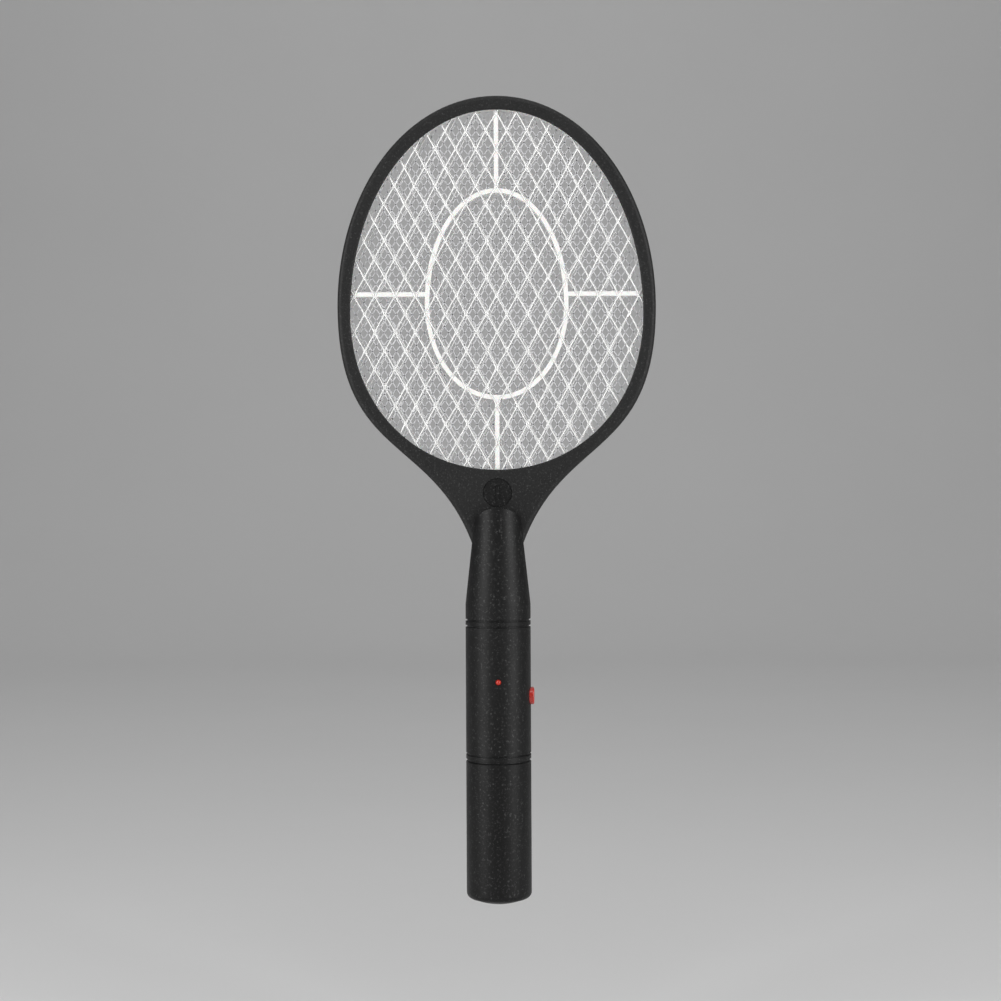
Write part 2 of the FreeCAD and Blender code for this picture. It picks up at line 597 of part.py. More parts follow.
def frame_half(label, side):
    """One half of the head's frame; side is -1 for the front half and 1 for the rear half.

    It is a rounded rim with a lip over the mesh, a hollow neck box and half of the tang.
    """
    outer = slab(head_outline(), 0, side * face_y)
    rim_edges = []
    for edge in outer.Edges:
        on_face = abs(edge.BoundBox.YMin - side * face_y) < EPS and edge.BoundBox.YLength < EPS
        if on_face and edge.BoundBox.ZMax > neck + OVER:
            rim_edges.append(edge)
    outer = outer.makeFillet(size("Dim.frame_edge"), rim_edges)
    ease = size("Dim.rear_ease") if side > 0 else 0.0
    outer = outer.cut(slab(opening(ease), -side * OVER, side * (face_y + OVER)))
    lip_edges = []
    for edge in outer.Edges:
        box = edge.BoundBox
        on_face = abs(box.YMin - side * face_y) < EPS and box.YLength < EPS
        in_height = box.ZMin > open_low - ease - OVER and box.ZMax < open_top + ease + EPS
        in_width = box.XLength < open_half + ease + OVER and abs(edge.CenterOfMass.x) < open_half * 0.87
        if on_face and in_height and in_width:
            lip_edges.append(edge)
    outer = outer.makeFillet(size("Dim.lip_edge"), lip_edges)
    hollow = slab(opening(seat), -side * OVER, side * seat_y)
    # neck box: open towards the other half, joined to the mesh seat by a short throat
    duct_half = size("Dim.duct_width / 2")
    throat = duct_half + size("Dim.throat_side")
    box_top = open_low - seat - size("Dim.box_gap")
    splay = neck_half + size("Dim.box_splay")
    bend = neck + size("Dim.box_bend")
    waist = neck_half - size("Dim.neck_wall + Dim.box_waist")
    shoulder = box_top - size("Dim.box_cut_tall")
    top_half = splay - size("Dim.box_cut_wide")
    right = [(throat, neck - OVER), (waist, bend), (splay, shoulder), (top_half, box_top)]
    corners = right + [(-x, z) for x, z in reversed(right)]
    neck_box = Part.makePolygon([Vector(x, 0, z) for x, z in corners + corners[:1]])
    hollow = hollow.fuse(slab(neck_box, -side * OVER, side * seat_y))
    hollow = hollow.fuse(brick(-throat, throat, -seat_y, seat_y, box_top - OVER, open_low - seat + 2 * OVER))
    half = outer.cut(hollow)
    # tang, with the lead duct down its middle
    tang_half = size("Dim.tang_width / 2")
    tang_y = size("Dim.tang_thick / 2")
    duct_y = size("Dim.duct_depth / 2")
    low_y, high_y = sorted((0, side * tang_y))
    tang_top = neck + size("Dim.tang_root")
    tang = brick(-tang_half, tang_half, low_y, high_y, size(TANG), tang_top)
    half = half.fuse(tang)
    half = half.cut(brick(-duct_half, duct_half, -duct_y, duct_y, size(TANG) - OVER, tang_top + OVER))
    pilot = size("Dim.screw_dia / 2 + Dim.screw_grip")
    for across in (-1, 1):
        half = half.cut(peg(across * size("Dim.tang_pitch / 2"), size(TANG_SCREW), pilot, -face_y, face_y))
    # screw posts of the neck box
    for across in (-1, 1):
        x = across * small_x
        low_y, high_y = sorted((0, side * (seat_y + lip / 4)))
        half = half.fuse(peg(x, small_z, size("Dim.small_post / 2"), low_y, high_y))
        if side > 0:
            half = half.cut(peg(x, small_z, small_pilot, -OVER, face_y + OVER))
            bed = face_y - small_high - small_sunk
            half = half.cut(peg(x, small_z, small_head + seat_gap, bed, face_y + OVER))
        else:
            half = half.cut(peg(x, small_z, small_pilot, -small_reach - size("Dim.pilot_spare / 2"), OVER))
    if side < 0:
        radius = size("Dim.medal_dia / 2 + Dim.medal_gap")
        half = half.cut(peg(0, small_z, radius, -face_y - OVER, -face_y + size("Dim.medal_depth")))
    return shaped(label, half.removeSplitter())


frame_half("front_frame", -1)
frame_half("rear_frame", 1)

frame_screws = []
head_low = face_y - small_high - small_sunk
head_face = head_low + small_high
slot_half = size("Dim.slot_wide / 2")
slot_reach = size("Dim.slot_long / 2")
for across in (-1, 1):
    x = across * small_x
    head = peg(x, small_z, small_head, head_low, head_face)
    slot_low = head_face - size("Dim.slot_deep")
    slot = brick(x - slot_reach, x + slot_reach, slot_low, face_y, small_z - slot_half, small_z + slot_half)
    frame_screws.append(head.cut(slot).fuse(peg(x, small_z, small_radius, -small_reach, head_low)))
shaped("frame_screws", Part.makeCompound(frame_screws))


# ---------------------------------------------------------------- meshes

def diamond(x, z, wide, tall):
    """Diamond-shaped wire about its centre."""
    tips = [(x, z + tall / 2), (x + wide / 2, z), (x, z - tall / 2), (x - wide / 2, z)]
    return Part.makePolygon([Vector(a, 0, b) for a, b in tips + tips[:1]])


def inside_egg(x, z, half, top, middle, bottom):
    """Whether a place lies inside an ellipse-like egg."""
    reach = top - middle if z > middle else middle - bottom
    return (x / half) ** 2 + ((z - middle) / reach) ** 2 < 1


def mesh_plate(label, pitch, strand, low, high, shift, tab_at):
    """Expanded metal sheet: an egg-shaped plate with a field of diamond holes and a soldering tab.

    Holes stand in rows half a diamond apart, and those that cross the solid border stop at it.
    """
    wide, tall = pitch
    slant = math.atan2(tall, wide)
    cut_wide = wide - strand / math.sin(slant)
    cut_tall = tall - strand / math.cos(slant)
    grow = size(SEAT_LAP)
    rim = size("Dim.mesh_rim")
    keep = (open_half + grow - rim, open_top + grow - rim, open_mid, open_low - grow + rim)
    field = Part.Face(opening(grow - rim))
    holes = []
    rows = int((open_top - open_low) / tall) + 2
    columns = int(open_half / wide) + 2
    for row in range(-rows, rows + 1):
        for column in range(-columns, columns + 1):
            x = (column + 0.5 * (row % 2)) * wide + shift
            z = open_mid + row * tall / 2
            tips = ((x, z + tall / 2), (x, z - tall / 2), (x + wide / 2, z), (x - wide / 2, z))
            within = [inside_egg(a, b, *keep) for a, b in tips]
            hole = diamond(x, z, cut_wide, cut_tall)
            if all(within):
                holes.append(hole)
            elif any(within):
                cut = Part.Face(hole).common(field)
                holes += [face.OuterWire for face in cut.Faces if face.Area > strand * tall / 4]
    plate = Part.Face([opening(grow)] + holes)
    plate.translate(Vector(0, low, 0))
    plate = plate.extrude(Vector(0, high - low, 0))
    foot = open_low - grow
    tab = brick(tab_at - tab_half, tab_at + tab_half, low, high, foot - size("Dim.tab_length"), foot + OVER)
    return shaped(label, plate.fuse(tab).removeSplitter())


coarse = (size("Dim.coarse_wide"), size("Dim.coarse_tall"))
fine = (size("Dim.fine_wide"), size("Dim.fine_tall"))
outer_mesh = size("Dim.outer_mesh")
inner_half = size("Dim.inner_mesh / 2")
strand = size("Dim.coarse_strand")
mesh_plate("front_mesh", coarse, strand, -seat_y, outer_mesh - seat_y, 0.0, -tab_x)
mesh_plate("rear_mesh", coarse, strand, seat_y - outer_mesh, seat_y, size("Dim.rear_shift"), -tab_x)
mesh_plate("centre_mesh", fine, size("Dim.fine_strand"), -inner_half, inner_half, 0.0, tab_x)


def rib_frame(label, low, high):
    """White frame that keeps two meshes apart: a rim, an egg-shaped rib and four spokes."""
    grow = size(SEAT_LAP)
    rim = slab(opening(grow), low, high).cut(slab(opening(grow - size("Dim.spacer_rim")), low, high))
    half = size("Dim.ring_width / 2")
    rib = size("Dim.rib_width")
    middle = head_mid + size("Dim.ring_lift")
    top = middle + size("Dim.ring_above")
    bottom = middle - size("Dim.ring_below")
    outside = egg(half, top, middle, bottom, crown_round, crown_round)
    inside = egg(half - rib, top - rib, middle, bottom + rib, crown_round, crown_round)
    centre = slab(inside, low, high)
    ribs = slab(outside, low, high)
    cross = head_mid + size("Dim.cross_lift")
    reach = open_half + grow - OVER
    bars = brick(-reach, reach, low, high, cross - rib / 2, cross + rib / 2)
    bars = bars.fuse(brick(-rib / 2, rib / 2, low, high, open_low - grow + OVER, open_top + grow - OVER))
    frame = rim.fuse(ribs.fuse(bars).common(slab(opening(grow - OVER), low, high)).cut(centre))
    return shaped(label, frame.removeSplitter())


rib_frame("front_spacer", outer_mesh - seat_y, -inner_half)
rib_frame("rear_spacer", inner_half, seat_y - outer_mesh)

strap_low = open_low - size(f"{SEAT_LAP} + Dim.tab_length")
strap_high = strap_low + size("Dim.inner_mesh")
strap_y = seat_y - outer_mesh
shaped("mesh_strap", brick(-tab_x - tab_half, -tab_x + tab_half, -strap_y, strap_y, strap_low, strap_high))


# ---------------------------------------------------------------- medallion

medallion = new_body("medallion")
MEDAL_Z = f"{NECK} + Dim.medal_lift"
MEDAL_BACK = "(Dim.head_thick / 2 - Dim.medal_depth)"
MEDAL_THICK = "(Dim.medal_depth - Dim.medal_sunk)"
pad(medallion, "XZ_Plane", [("circle", "0", MEDAL_Z, "Dim.medal_dia / 2")], MEDAL_THICK, MEDAL_BACK)
mark = pill_steps("0", MEDAL_Z, "Dim.mark_wide", "Dim.mark_tall", "Dim.mark_round")
pocket(medallion, "XZ_Plane", [mark], "Dim.mark_deep", f"{MEDAL_BACK} + {MEDAL_THICK}", forward=False)


# ---------------------------------------------------------------- handle shells

def grooved(foot, steps):
    """Add a groove, a band and a groove to a rising profile, from the height where they start."""
    deep = f"{HANDLE} - Dim.groove_depth"
    first = f"{foot} + Dim.groove_width"
    second = f"{first} + Dim.band_width"
    third = f"{second} + Dim.groove_width"
    steps += [(deep, foot), (deep, first), (HANDLE, first), (HANDLE, second), (deep, second)]
    steps += [(deep, third), (HANDLE, third)]


def handle_half(label, side):
    """Half of the handle: a tapered tube with two ring bands, an arched tongue over the neck plate,
    screw posts, and half of the button's opening.  side is -1 for the front and 1 for the rear.
    """
    body = new_body(label)
    front = side < 0
    roof = f"({NECK} + Dim.roof_lift)"
    band_foot = f"{TAPER} - Dim.band_drop - Dim.band_width / 2 - Dim.groove_width"
    profile = []
    grooved(SHELL_FOOT, profile)
    profile.append((HANDLE, band_foot))
    grooved(band_foot, profile)
    profile += [
        (HANDLE, TAPER),
        ("Dim.head_thick / 2 + Dim.tongue_proud", TONGUE),
        ("0", TONGUE),
        ("0", roof),
        (f"{BORE} - {SLOPE} * ({roof} - {TAPER})", roof),
        (BORE, TAPER),
        (BORE, SHELL_FOOT),
    ]
    turned(body, profile, 180, reverse=front)
    # neck plate: everything above the neck between the tongue and the parting plane
    wide = f"(2 * {HANDLE})"
    above = f"({TONGUE} + 5)"
    gap = "Dim.head_thick / 2 + Dim.plate_gap"
    plate = box_steps(f"-{wide}", NECK, wide, above)
    pocket(body, "XZ_Plane", [plate], gap, "0", forward=front)
    # both sides of the taper, down to the width of the neck
    for across in ("", "-"):
        wedge = [
            (f"{across}{HANDLE}", TAPER),
            (f"{across}{wide}", TAPER),
            (f"{across}{wide}", above),
            (f"{across}({HANDLE} - {SLOPE} * ({above} - {TAPER}))", above),
        ]
        pocket(body, "XZ_Plane", [wedge], wide, "0", forward=front)
    # arched top of the tongue
    spring = f"{TONGUE} - Dim.tongue_arch + sqrt(Dim.tongue_arch ^ 2 - (Dim.neck_width / 2) ^ 2)"
    half_arch = "Dim.neck_width / 2"
    arch = [
        (f"-{wide}", above),
        (f"-{wide}", spring),
        (f"-{half_arch}", spring),
        (half_arch, spring, "Dim.tongue_arch", -1),
        (wide, spring),
        (wide, above),
    ]
    pocket(body, "XZ_Plane", [arch], wide, "0", forward=front)
    # saddle that bears on the tang, with its two screw posts
    saddle_y = "Dim.tang_thick / 2"
    half_tang = "Dim.tang_width / 2"
    saddle_top = f"({TANG_SCREW} + Dim.saddle_half)"
    saddle = box_steps(f"-{half_tang}", f"{TANG_SCREW} - Dim.saddle_half", half_tang, saddle_top)
    lift = f"{-side} * {saddle_y}"
    wall_there = f"({BORE} - {SLOPE} * ({saddle_top} - {TAPER}))"
    reach = f"sqrt({wall_there} ^ 2 - ({half_tang}) ^ 2) - {saddle_y}"
    pad(body, "XZ_Plane", [saddle], f"{reach} + Dim.root", lift, forward=front)
    # lower screw post
    post = [("circle", "0", POST, "Dim.post_dia / 2")]
    pad(body, "XZ_Plane", post, f"{BORE} + Dim.root", "0", forward=front)
    pilot = "Dim.screw_dia / 2 + Dim.screw_grip"
    for x, z, seat_at in SCREWS:
        if front:
            depth = "Dim.screw_length - Dim.head_sunk + Dim.pilot_spare"
            pocket(body, "XZ_Plane", [("circle", x, z, pilot)], depth)
        else:
            pocket(body, "XZ_Plane", [("circle", x, z, pilot)], wide, forward=False)
            room = "Dim.head_dia / 2 + Dim.head_clear"
            pocket(body, "XZ_Plane", [("circle", x, z, room)], wide, f"-{seat_at}", forward=False)
    # half of the button's opening, through the +X wall
    hole_wide = "Dim.button_wide + 2 * Dim.button_clear"
    hole_tall = "Dim.button_tall + 2 * Dim.button_clear"
    hole = pill_steps("0", BUTTON, hole_wide, hole_tall, "Dim.button_corner")
    pocket(body, "YZ_Plane", [hole], wide, BUTTON_BACK)
    if front:
        lamp_hole = [("circle", "0", LAMP, "Dim.lamp_bore / 2")]
        pocket(body, "XZ_Plane", lamp_hole, HANDLE, f"{BORE} - Dim.shell_wall")
    else:
        aside = f"({BOARD_HALF} - Dim.stand_side)"
        stands = []
        for across in ("-", ""):
            for z in (f"{BOARD_FOOT} + Dim.stand_end", f"{BOARD_TOP} - Dim.stand_end"):
                stands.append(("circle", f"{across}{aside}", z, "Dim.stand_dia / 2"))
        reach = f"sqrt({BORE} ^ 2 - ({aside} + Dim.stand_dia / 2) ^ 2) - {BOARD_BACK}"
        pad(body, "XZ_Plane", stands, f"{reach} + Dim.shell_wall", f"-{BOARD_BACK}", forward=False)
    rounded(body, "Dim.tongue_corner", arch_corner)


def arch_corner(edge):
    """Whether an edge is a corner between the tongue's arched top and its sides."""
    box = edge.BoundBox
    flat = box.XLength < EPS and box.ZLength < EPS
    return flat and box.ZMin > neck + OVER and abs(box.XMax) > neck_half / 2


handle_half("handle_front", -1)
handle_half("handle_rear", 1)

doc.recompute()

# ---------------------------------------------------------------- screws of the handle

handle_screws = []
for number, (x, z, seat_at) in enumerate(SCREWS):
    thread_start = (x, f"{seat_at} - Dim.screw_length", z)
    thread = rod(f"thread_{number}", thread_start, "Dim.screw_dia / 2", "Dim.screw_length", TO_Y)
    head = rod(f"head_{number}", (x, seat_at, z), "Dim.head_dia / 2", "Dim.head_high", TO_Y)
    recess_foot = f"{seat_at} + Dim.head_high - Dim.recess_deep"
    long, wide = "Dim.recess_long", "Dim.recess_wide"
    high = f"(Dim.recess_deep + {OVER})"
    bar_foot = (f"{x} - {long} / 2", recess_foot, f"{z} - {wide} / 2")
    bar = block(f"bar_{number}", bar_foot, (long, high, wide))
    cross_foot = (f"{x} - {wide} / 2", recess_foot, f"{z} - {long} / 2")
    cross = block(f"cross_{number}", cross_foot, (wide, high, long))
    recess = joined(f"recess_{number}", [bar, cross])
    handle_screws.append(without(f"screw_{number}", joined(f"blank_{number}", [thread, head]), recess))
joined("handle_screws", handle_screws)


# ---------------------------------------------------------------- battery cap

cap = new_body("battery_cap")
CAP_EDGE = f"{HANDLE} - Dim.cap_round"
DOME = f"(({HANDLE}) ^ 2 + Dim.cap_crown ^ 2) / (2 * Dim.cap_crown)"
EDGE_RISE = f"({DOME} - sqrt(({DOME}) ^ 2 - ({CAP_EDGE}) ^ 2))"
turned(cap, [
    ("0", "0"),
    (CAP_EDGE, EDGE_RISE, DOME, 1),
    (HANDLE, f"{EDGE_RISE} + Dim.cap_round", "Dim.cap_round * 1.04", 1),
    (HANDLE, "Dim.cap_length - Dim.cap_chamfer"),
    (f"{HANDLE} - Dim.cap_chamfer", "Dim.cap_length"),
    (CAP_BORE, "Dim.cap_length"),
    (CAP_BORE, f"{EDGE_RISE} + Dim.cap_round"),
    (f"{CAP_EDGE} - Dim.cap_wall / 2", f"{EDGE_RISE} + Dim.cap_wall"),
    ("0", "Dim.cap_wall + Dim.cap_chamfer"),
])


# ---------------------------------------------------------------- battery tray

plate_reach = "(Dim.cell_dia / 2 - Dim.plate_inset)"

tray = new_body("battery_tray")
COLLAR = f"({BORE} - Dim.tray_clear)"
SHOULDER = f"({SHELL_FOOT} - Dim.cap_chamfer)"
turned(tray, [
    ("0", "Dim.tray_foot"),
    (TRAY, "Dim.tray_foot"),
    (TRAY, SHOULDER),
    (COLLAR, SHOULDER),
    (COLLAR, COLLAR_TOP),
    (f"{COLLAR} - Dim.collar_wall", COLLAR_TOP),
    (f"{COLLAR} - Dim.collar_wall", f"{CELL_TOP} + Dim.tray_top"),
    ("0", f"{CELL_TOP} + Dim.tray_top"),
])
far = f"2 * {HANDLE}"
rear_window = box_steps(f"-{far}", CELL_FOOT, far, CELL_TOP)
pocket(tray, "XZ_Plane", [rear_window], far, "-Dim.cradle_low", forward=False)
pocket(tray, "XZ_Plane", [rear_window], far, "Dim.tray_back")
for across in ("-", ""):
    well = [("circle", f"{across}{CELL_X}", "0", "Dim.cell_dia / 2 + Dim.cell_play")]
    pocket(tray, "XY_Plane", well, CELL_ROOM, CELL_FOOT)
    wire_hole = [("circle", f"{across}{CELL_X}", "0", "Dim.lead_dia / 2 + Dim.seat_gap")]
    pocket(tray, "XY_Plane", wire_hole, "2 * Dim.tray_top", f"{CELL_TOP} - Dim.tray_top / 2")
slot_x = f"({CELL_X} + {plate_reach} + Dim.plate_play)"
slot_y = f"({plate_reach} + Dim.plate_play)"
bridge_slot = box_steps(f"-{slot_x}", f"-{slot_y}", slot_x, slot_y)
pocket(tray, "XY_Plane", [bridge_slot], "Dim.plate_thick + Dim.plate_play", CELL_FOOT)


# ---------------------------------------------------------------- cells and contacts

def cell(label, across, up):
    """One cell, standing in its well with its nub up or down."""
    body = new_body(label)
    place = f"{across}{CELL_X}"
    foot = f"{CELL_FOOT} + Dim.plate_thick"
    if up:
        foot = f"({foot} + Dim.spring_room)"
        nub = f"({foot} + Dim.cell_body)"
    else:
        foot = f"({foot} + Dim.nub_length)"
        nub = foot
    pad(body, "XY_Plane", [("circle", place, "0", "Dim.cell_dia / 2")], "Dim.cell_body", foot)
    pad(body, "XY_Plane", [("circle", place, "0", "Dim.nub_dia / 2")], "Dim.nub_length", nub, forward=up)


cell("cell_left", "-", True)
cell("cell_right", "", False)

plate_side = f"2 * {plate_reach}"
bridge_length = f"2 * ({CELL_X} + {plate_reach})"
bridge_corner = (f"-{CELL_X} - {plate_reach}", f"-{plate_reach}", CELL_FOOT)
block("bridge_contact", bridge_corner, (bridge_length, plate_side, "Dim.plate_thick"))
terminals = []
for number, across in enumerate(("-", "")):
    terminal_corner = (f"{across}{CELL_X} - {plate_reach}", f"-{plate_reach}", f"{CELL_TOP} - Dim.plate_thick")
    lengths = (plate_side, plate_side, "Dim.plate_thick")
    terminals.append(block(f"terminal_{number}", terminal_corner, lengths))
joined("terminal_plates", terminals)


def spring(across, low, high):
    """Helical contact spring between two heights, of eight-sided wire."""
    wire = size("Dim.spring_wire") / 2
    radius = size("Dim.spring_dia / 2") - wire
    rise = high - low - 2 * wire
    turns = size("Dim.spring_turns")
    helix = Part.makeHelix(rise / turns, rise, radius)
    angles = [math.pi * (2 * k + 1) / 8 for k in range(9)]
    section = Part.makePolygon([Vector(radius + wire * math.cos(a), 0, wire * math.sin(a)) for a in angles])
    coil = Part.Wire(helix.Edges).makePipeShell([section], True, True)
    coil.translate(Vector(across * size(CELL_X), 0, low + wire))
    return coil


spring_low = size(f"{CELL_FOOT} + Dim.plate_thick")
spring_high = size(f"{CELL_TOP} - Dim.plate_thick")
room = size("Dim.spring_room")
left_spring = spring(-1, spring_low, spring_low + room)
right_spring = spring(1, spring_high - room, spring_high)
shaped("contact_springs", Part.makeCompound([left_spring, right_spring]))


# ---------------------------------------------------------------- circuit board and components

board = new_body("circuit_board")
board_middle = f"({BOARD_FOOT} + Dim.board_length / 2)"
board_outline = pill_steps("0", board_middle, f"2 * {BOARD_HALF}", "Dim.board_length", "Dim.board_corner")
pad(board, "XZ_Plane", [board_outline], "Dim.board_thick", f"-{BOARD_BACK}")
# notch that the button's flange moves into
notch_half = "(Dim.button_tall / 2 + Dim.flange_reach + Dim.notch_gap)"
notch_left = f"{BUTTON_BACK} - Dim.press_travel - Dim.notch_gap"
notch = box_steps(notch_left, f"{BUTTON} - {notch_half}", HANDLE, f"{BUTTON} + {notch_half}")
pocket(board, "XZ_Plane", [notch], "Dim.board_thick", f"-{BOARD_BACK}")

# the core is a flat frame with a centre leg; the winding sits round that leg
LEG = "Dim.core_leg"
WINDOW = f"((Dim.core_width - 3 * {LEG}) / 2)"
core = new_body("transformer_core")
core_back = "(-Dim.board_face + Dim.coil_bulge)"
half_wide = "Dim.core_width / 2"
CORE_LOW = f"({COIL} - Dim.core_tall / 2)"
CORE_HIGH = f"({COIL} + Dim.core_tall / 2)"
core_steps = box_steps(f"-{half_wide}", CORE_LOW, half_wide, CORE_HIGH)
left_window = box_steps(f"-{LEG} / 2 - {WINDOW}", f"{CORE_LOW} + {LEG}", f"-{LEG} / 2", f"{CORE_HIGH} - {LEG}")
right_window = box_steps(f"{LEG} / 2", f"{CORE_LOW} + {LEG}", f"{LEG} / 2 + {WINDOW}", f"{CORE_HIGH} - {LEG}")
pad(core, "XZ_Plane", [core_steps, left_window, right_window], "Dim.core_deep", core_back)

winding = new_body("transformer_winding")
play = "Dim.coil_play"
WIND_LOW = f"{CORE_LOW} + {LEG} + {play}"
WIND_WIDE = f"({LEG} + 2 * {WINDOW} - 2 * {play})"
WIND_DEEP = "(Dim.core_deep + 2 * Dim.coil_bulge)"
WIND_TALL = f"(Dim.core_tall - 2 * {LEG} - 2 * {play})"
WIND_Y = f"(-({core_back} + Dim.core_deep / 2))"
tape_steps = pill_steps("0", WIND_Y, WIND_WIDE, WIND_DEEP, "Dim.film_round")
pad(winding, "XY_Plane", [tape_steps], WIND_TALL, WIND_LOW)
leg_steps = pill_steps("0", WIND_Y, f"{LEG} + 2 * {play}", f"Dim.core_deep + 2 * {play}", play)
pocket(winding, "XY_Plane", [leg_steps], "Dim.core_tall", WIND_LOW)


def on_board(label, kind, side):
    """Rounded block standing on the board's component face, with its own row of sizes."""
    body = new_body(label)
    x = f"{side} * Dim.{kind}_aside"
    z = f"({BOARD_FOOT} + Dim.{kind}_rise)"
    steps = pill_steps(x, z, f"Dim.{kind}_wide", f"Dim.{kind}_tall", f"Dim.{kind}_round")
    pad(body, "XZ_Plane", [steps], f"Dim.{kind}_deep", "-Dim.board_face")


on_board("film_capacitor", "film", -1)
on_board("transistor", "chip", -1)


def lying(label, kind, places):
    """Round components lying across the board, touching its face."""
    radius = f"Dim.{kind}_dia / 2"
    length = f"Dim.{kind}_long"
    rods = []
    for number, (x, rise) in enumerate(places):
        start = (f"{x} - {length} / 2", f"Dim.board_face - {radius}", f"{BOARD_FOOT} + {rise}")
        rods.append(rod(f"{kind}_{number}", start, radius, length, TO_X))
    joined(label, rods)


lying("diodes", "diode", (
    ("-Dim.diode_aside", "Dim.diode_rise"),
    ("Dim.diode_aside", "Dim.diode_rise + Dim.diode_step"),
    ("-Dim.diode_aside", "Dim.diode_rise + 2 * Dim.diode_step"),
))
lying("resistors", "ohm", (
    ("-Dim.ohm_left", "Dim.ohm_rise"),
    ("-Dim.ohm_left", "Dim.ohm_rise + Dim.ohm_step"),
    ("Dim.ohm_right", "Dim.ohm_rise"),
))
discs = []
for number in range(2):
    disc_foot = f"{BOARD_FOOT} + Dim.disc_rise + {number} * Dim.disc_step"
    disc_start = ("Dim.disc_aside", "Dim.board_face - Dim.disc_dia / 2", disc_foot)
    discs.append(rod(f"disc_{number}", disc_start, "Dim.disc_dia / 2", "Dim.disc_thick"))
joined("disc_capacitors", discs)


# ---------------------------------------------------------------- lamp, switch and button

lamp = new_body("lamp")
LAMP_TIP = f"({HANDLE} + Dim.lamp_proud)"
LAMP_FOOT = f"({LAMP_TIP} - Dim.lamp_body)"
pad(lamp, "XZ_Plane", [("circle", "0", LAMP, "Dim.lamp_dia / 2")], "Dim.lamp_body", LAMP_FOOT)
rounded(lamp, f"Dim.lamp_dia / 2 - {2 * EPS}", lambda edge: edge.BoundBox.YMax < -size(LAMP_TIP) + EPS)
LAMP_BACK = f"({LAMP_FOOT} - Dim.lamp_base)"
pad(lamp, "XZ_Plane", [("circle", "0", LAMP, "Dim.lamp_flange / 2")], "Dim.lamp_base", LAMP_BACK)
legs = []
for number, across in enumerate((-1, 1)):
    leg_start = (f"{across} * Dim.leg_pitch / 2", f"-{LAMP_BACK}", LAMP)
    legs.append(rod(f"leg_{number}", leg_start, "Dim.leg_dia / 2", f"Dim.board_face + {LAMP_BACK}", TO_Y))
joined("lamp_legs", legs)

switch = new_body("switch_body")
SWITCH_X = "(Dim.switch_reach - Dim.switch_side / 2)"
switch_steps = pill_steps(SWITCH_X, BUTTON, "Dim.switch_side", "Dim.switch_side", "Dim.switch_round")
pad(switch, "XZ_Plane", [switch_steps], "Dim.switch_side", "-Dim.board_face")
AXIS_Y = "(Dim.board_face - Dim.switch_side / 2)"
plunger_hole = [("circle", AXIS_Y, BUTTON, "Dim.plunger_dia / 2 + Dim.plunger_clear")]
hole_foot = "Dim.switch_reach - 2 * Dim.press_travel"
pocket(switch, "YZ_Plane", plunger_hole, "3 * Dim.press_travel", hole_foot)

plunger = new_body("switch_plunger")
PLUNGER_FOOT = "(Dim.switch_reach - Dim.plunger_root)"
plunger_rod = [("circle", AXIS_Y, BUTTON, "Dim.plunger_dia / 2")]
pad(plunger, "YZ_Plane", plunger_rod, f"{BUTTON_BACK} - {PLUNGER_FOOT}", PLUNGER_FOOT)

button = new_body("push_button")
flange_wide = "Dim.button_wide + 2 * Dim.flange_reach"
flange_tall = "Dim.button_tall + 2 * Dim.flange_reach"
flange_steps = pill_steps("0", BUTTON, flange_wide, flange_tall, "Dim.button_corner")
pad(button, "YZ_Plane", [flange_steps], "Dim.flange_thick", BUTTON_BACK)
stem_steps = pill_steps("0", BUTTON, "Dim.button_wide", "Dim.button_tall", "Dim.button_corner")
STEM_FOOT = f"({BUTTON_BACK} + Dim.flange_thick)"
BUTTON_FACE = f"({HANDLE} + Dim.button_proud)"
pad(button, "YZ_Plane", [stem_steps], f"{BUTTON_FACE} - {STEM_FOOT}", STEM_FOOT)
rounded(button, "Dim.button_edge", lambda edge: edge.BoundBox.XMin > size(BUTTON_FACE) - EPS)


# ---------------------------------------------------------------- leads

def lead(label, *routes):
    """Insulated leads.  Each route is a list of places; its corners are arcs of the bend radius."""
    radius = size("Dim.lead_dia / 2")
    bend = size("Dim.lead_bend")
    solids = []
    for route in routes:
        points = [Vector(*place) for place in route]
        edges = []
        here = points[0]
        for before, at, after in zip(points, points[1:], points[2:]):
            come = (before - at).normalize()
            leave = (after - at).normalize()
            first = at + come * bend
            last = at + leave * bend
            middle = at + (come + leave) * (bend * (1 - math.sqrt(0.5)))
            if (first - here).Length > EPS:
                edges.append(Part.LineSegment(here, first).toShape())
            edges.append(Part.Arc(first, middle, last).toShape())
            here = last
        edges.append(Part.LineSegment(here, points[-1]).toShape())
        path = Part.Wire(edges)
        section = Part.Wire([Part.Circle(points[0], points[1] - points[0], radius).toShape()])
        tube = path.makePipeShell([section], True, False)
        expected = math.pi * radius ** 2 * path.Length
        assert abs(tube.Volume - expected) < 0.01 * expected, label + ": the tube's volume is wrong"
        print(label, "length", round(path.Length, 1), "bend radius", bend)
        solids.append(tube)
    return shaped(label, Part.makeCompound(solids) if len(solids) > 1 else solids[0])


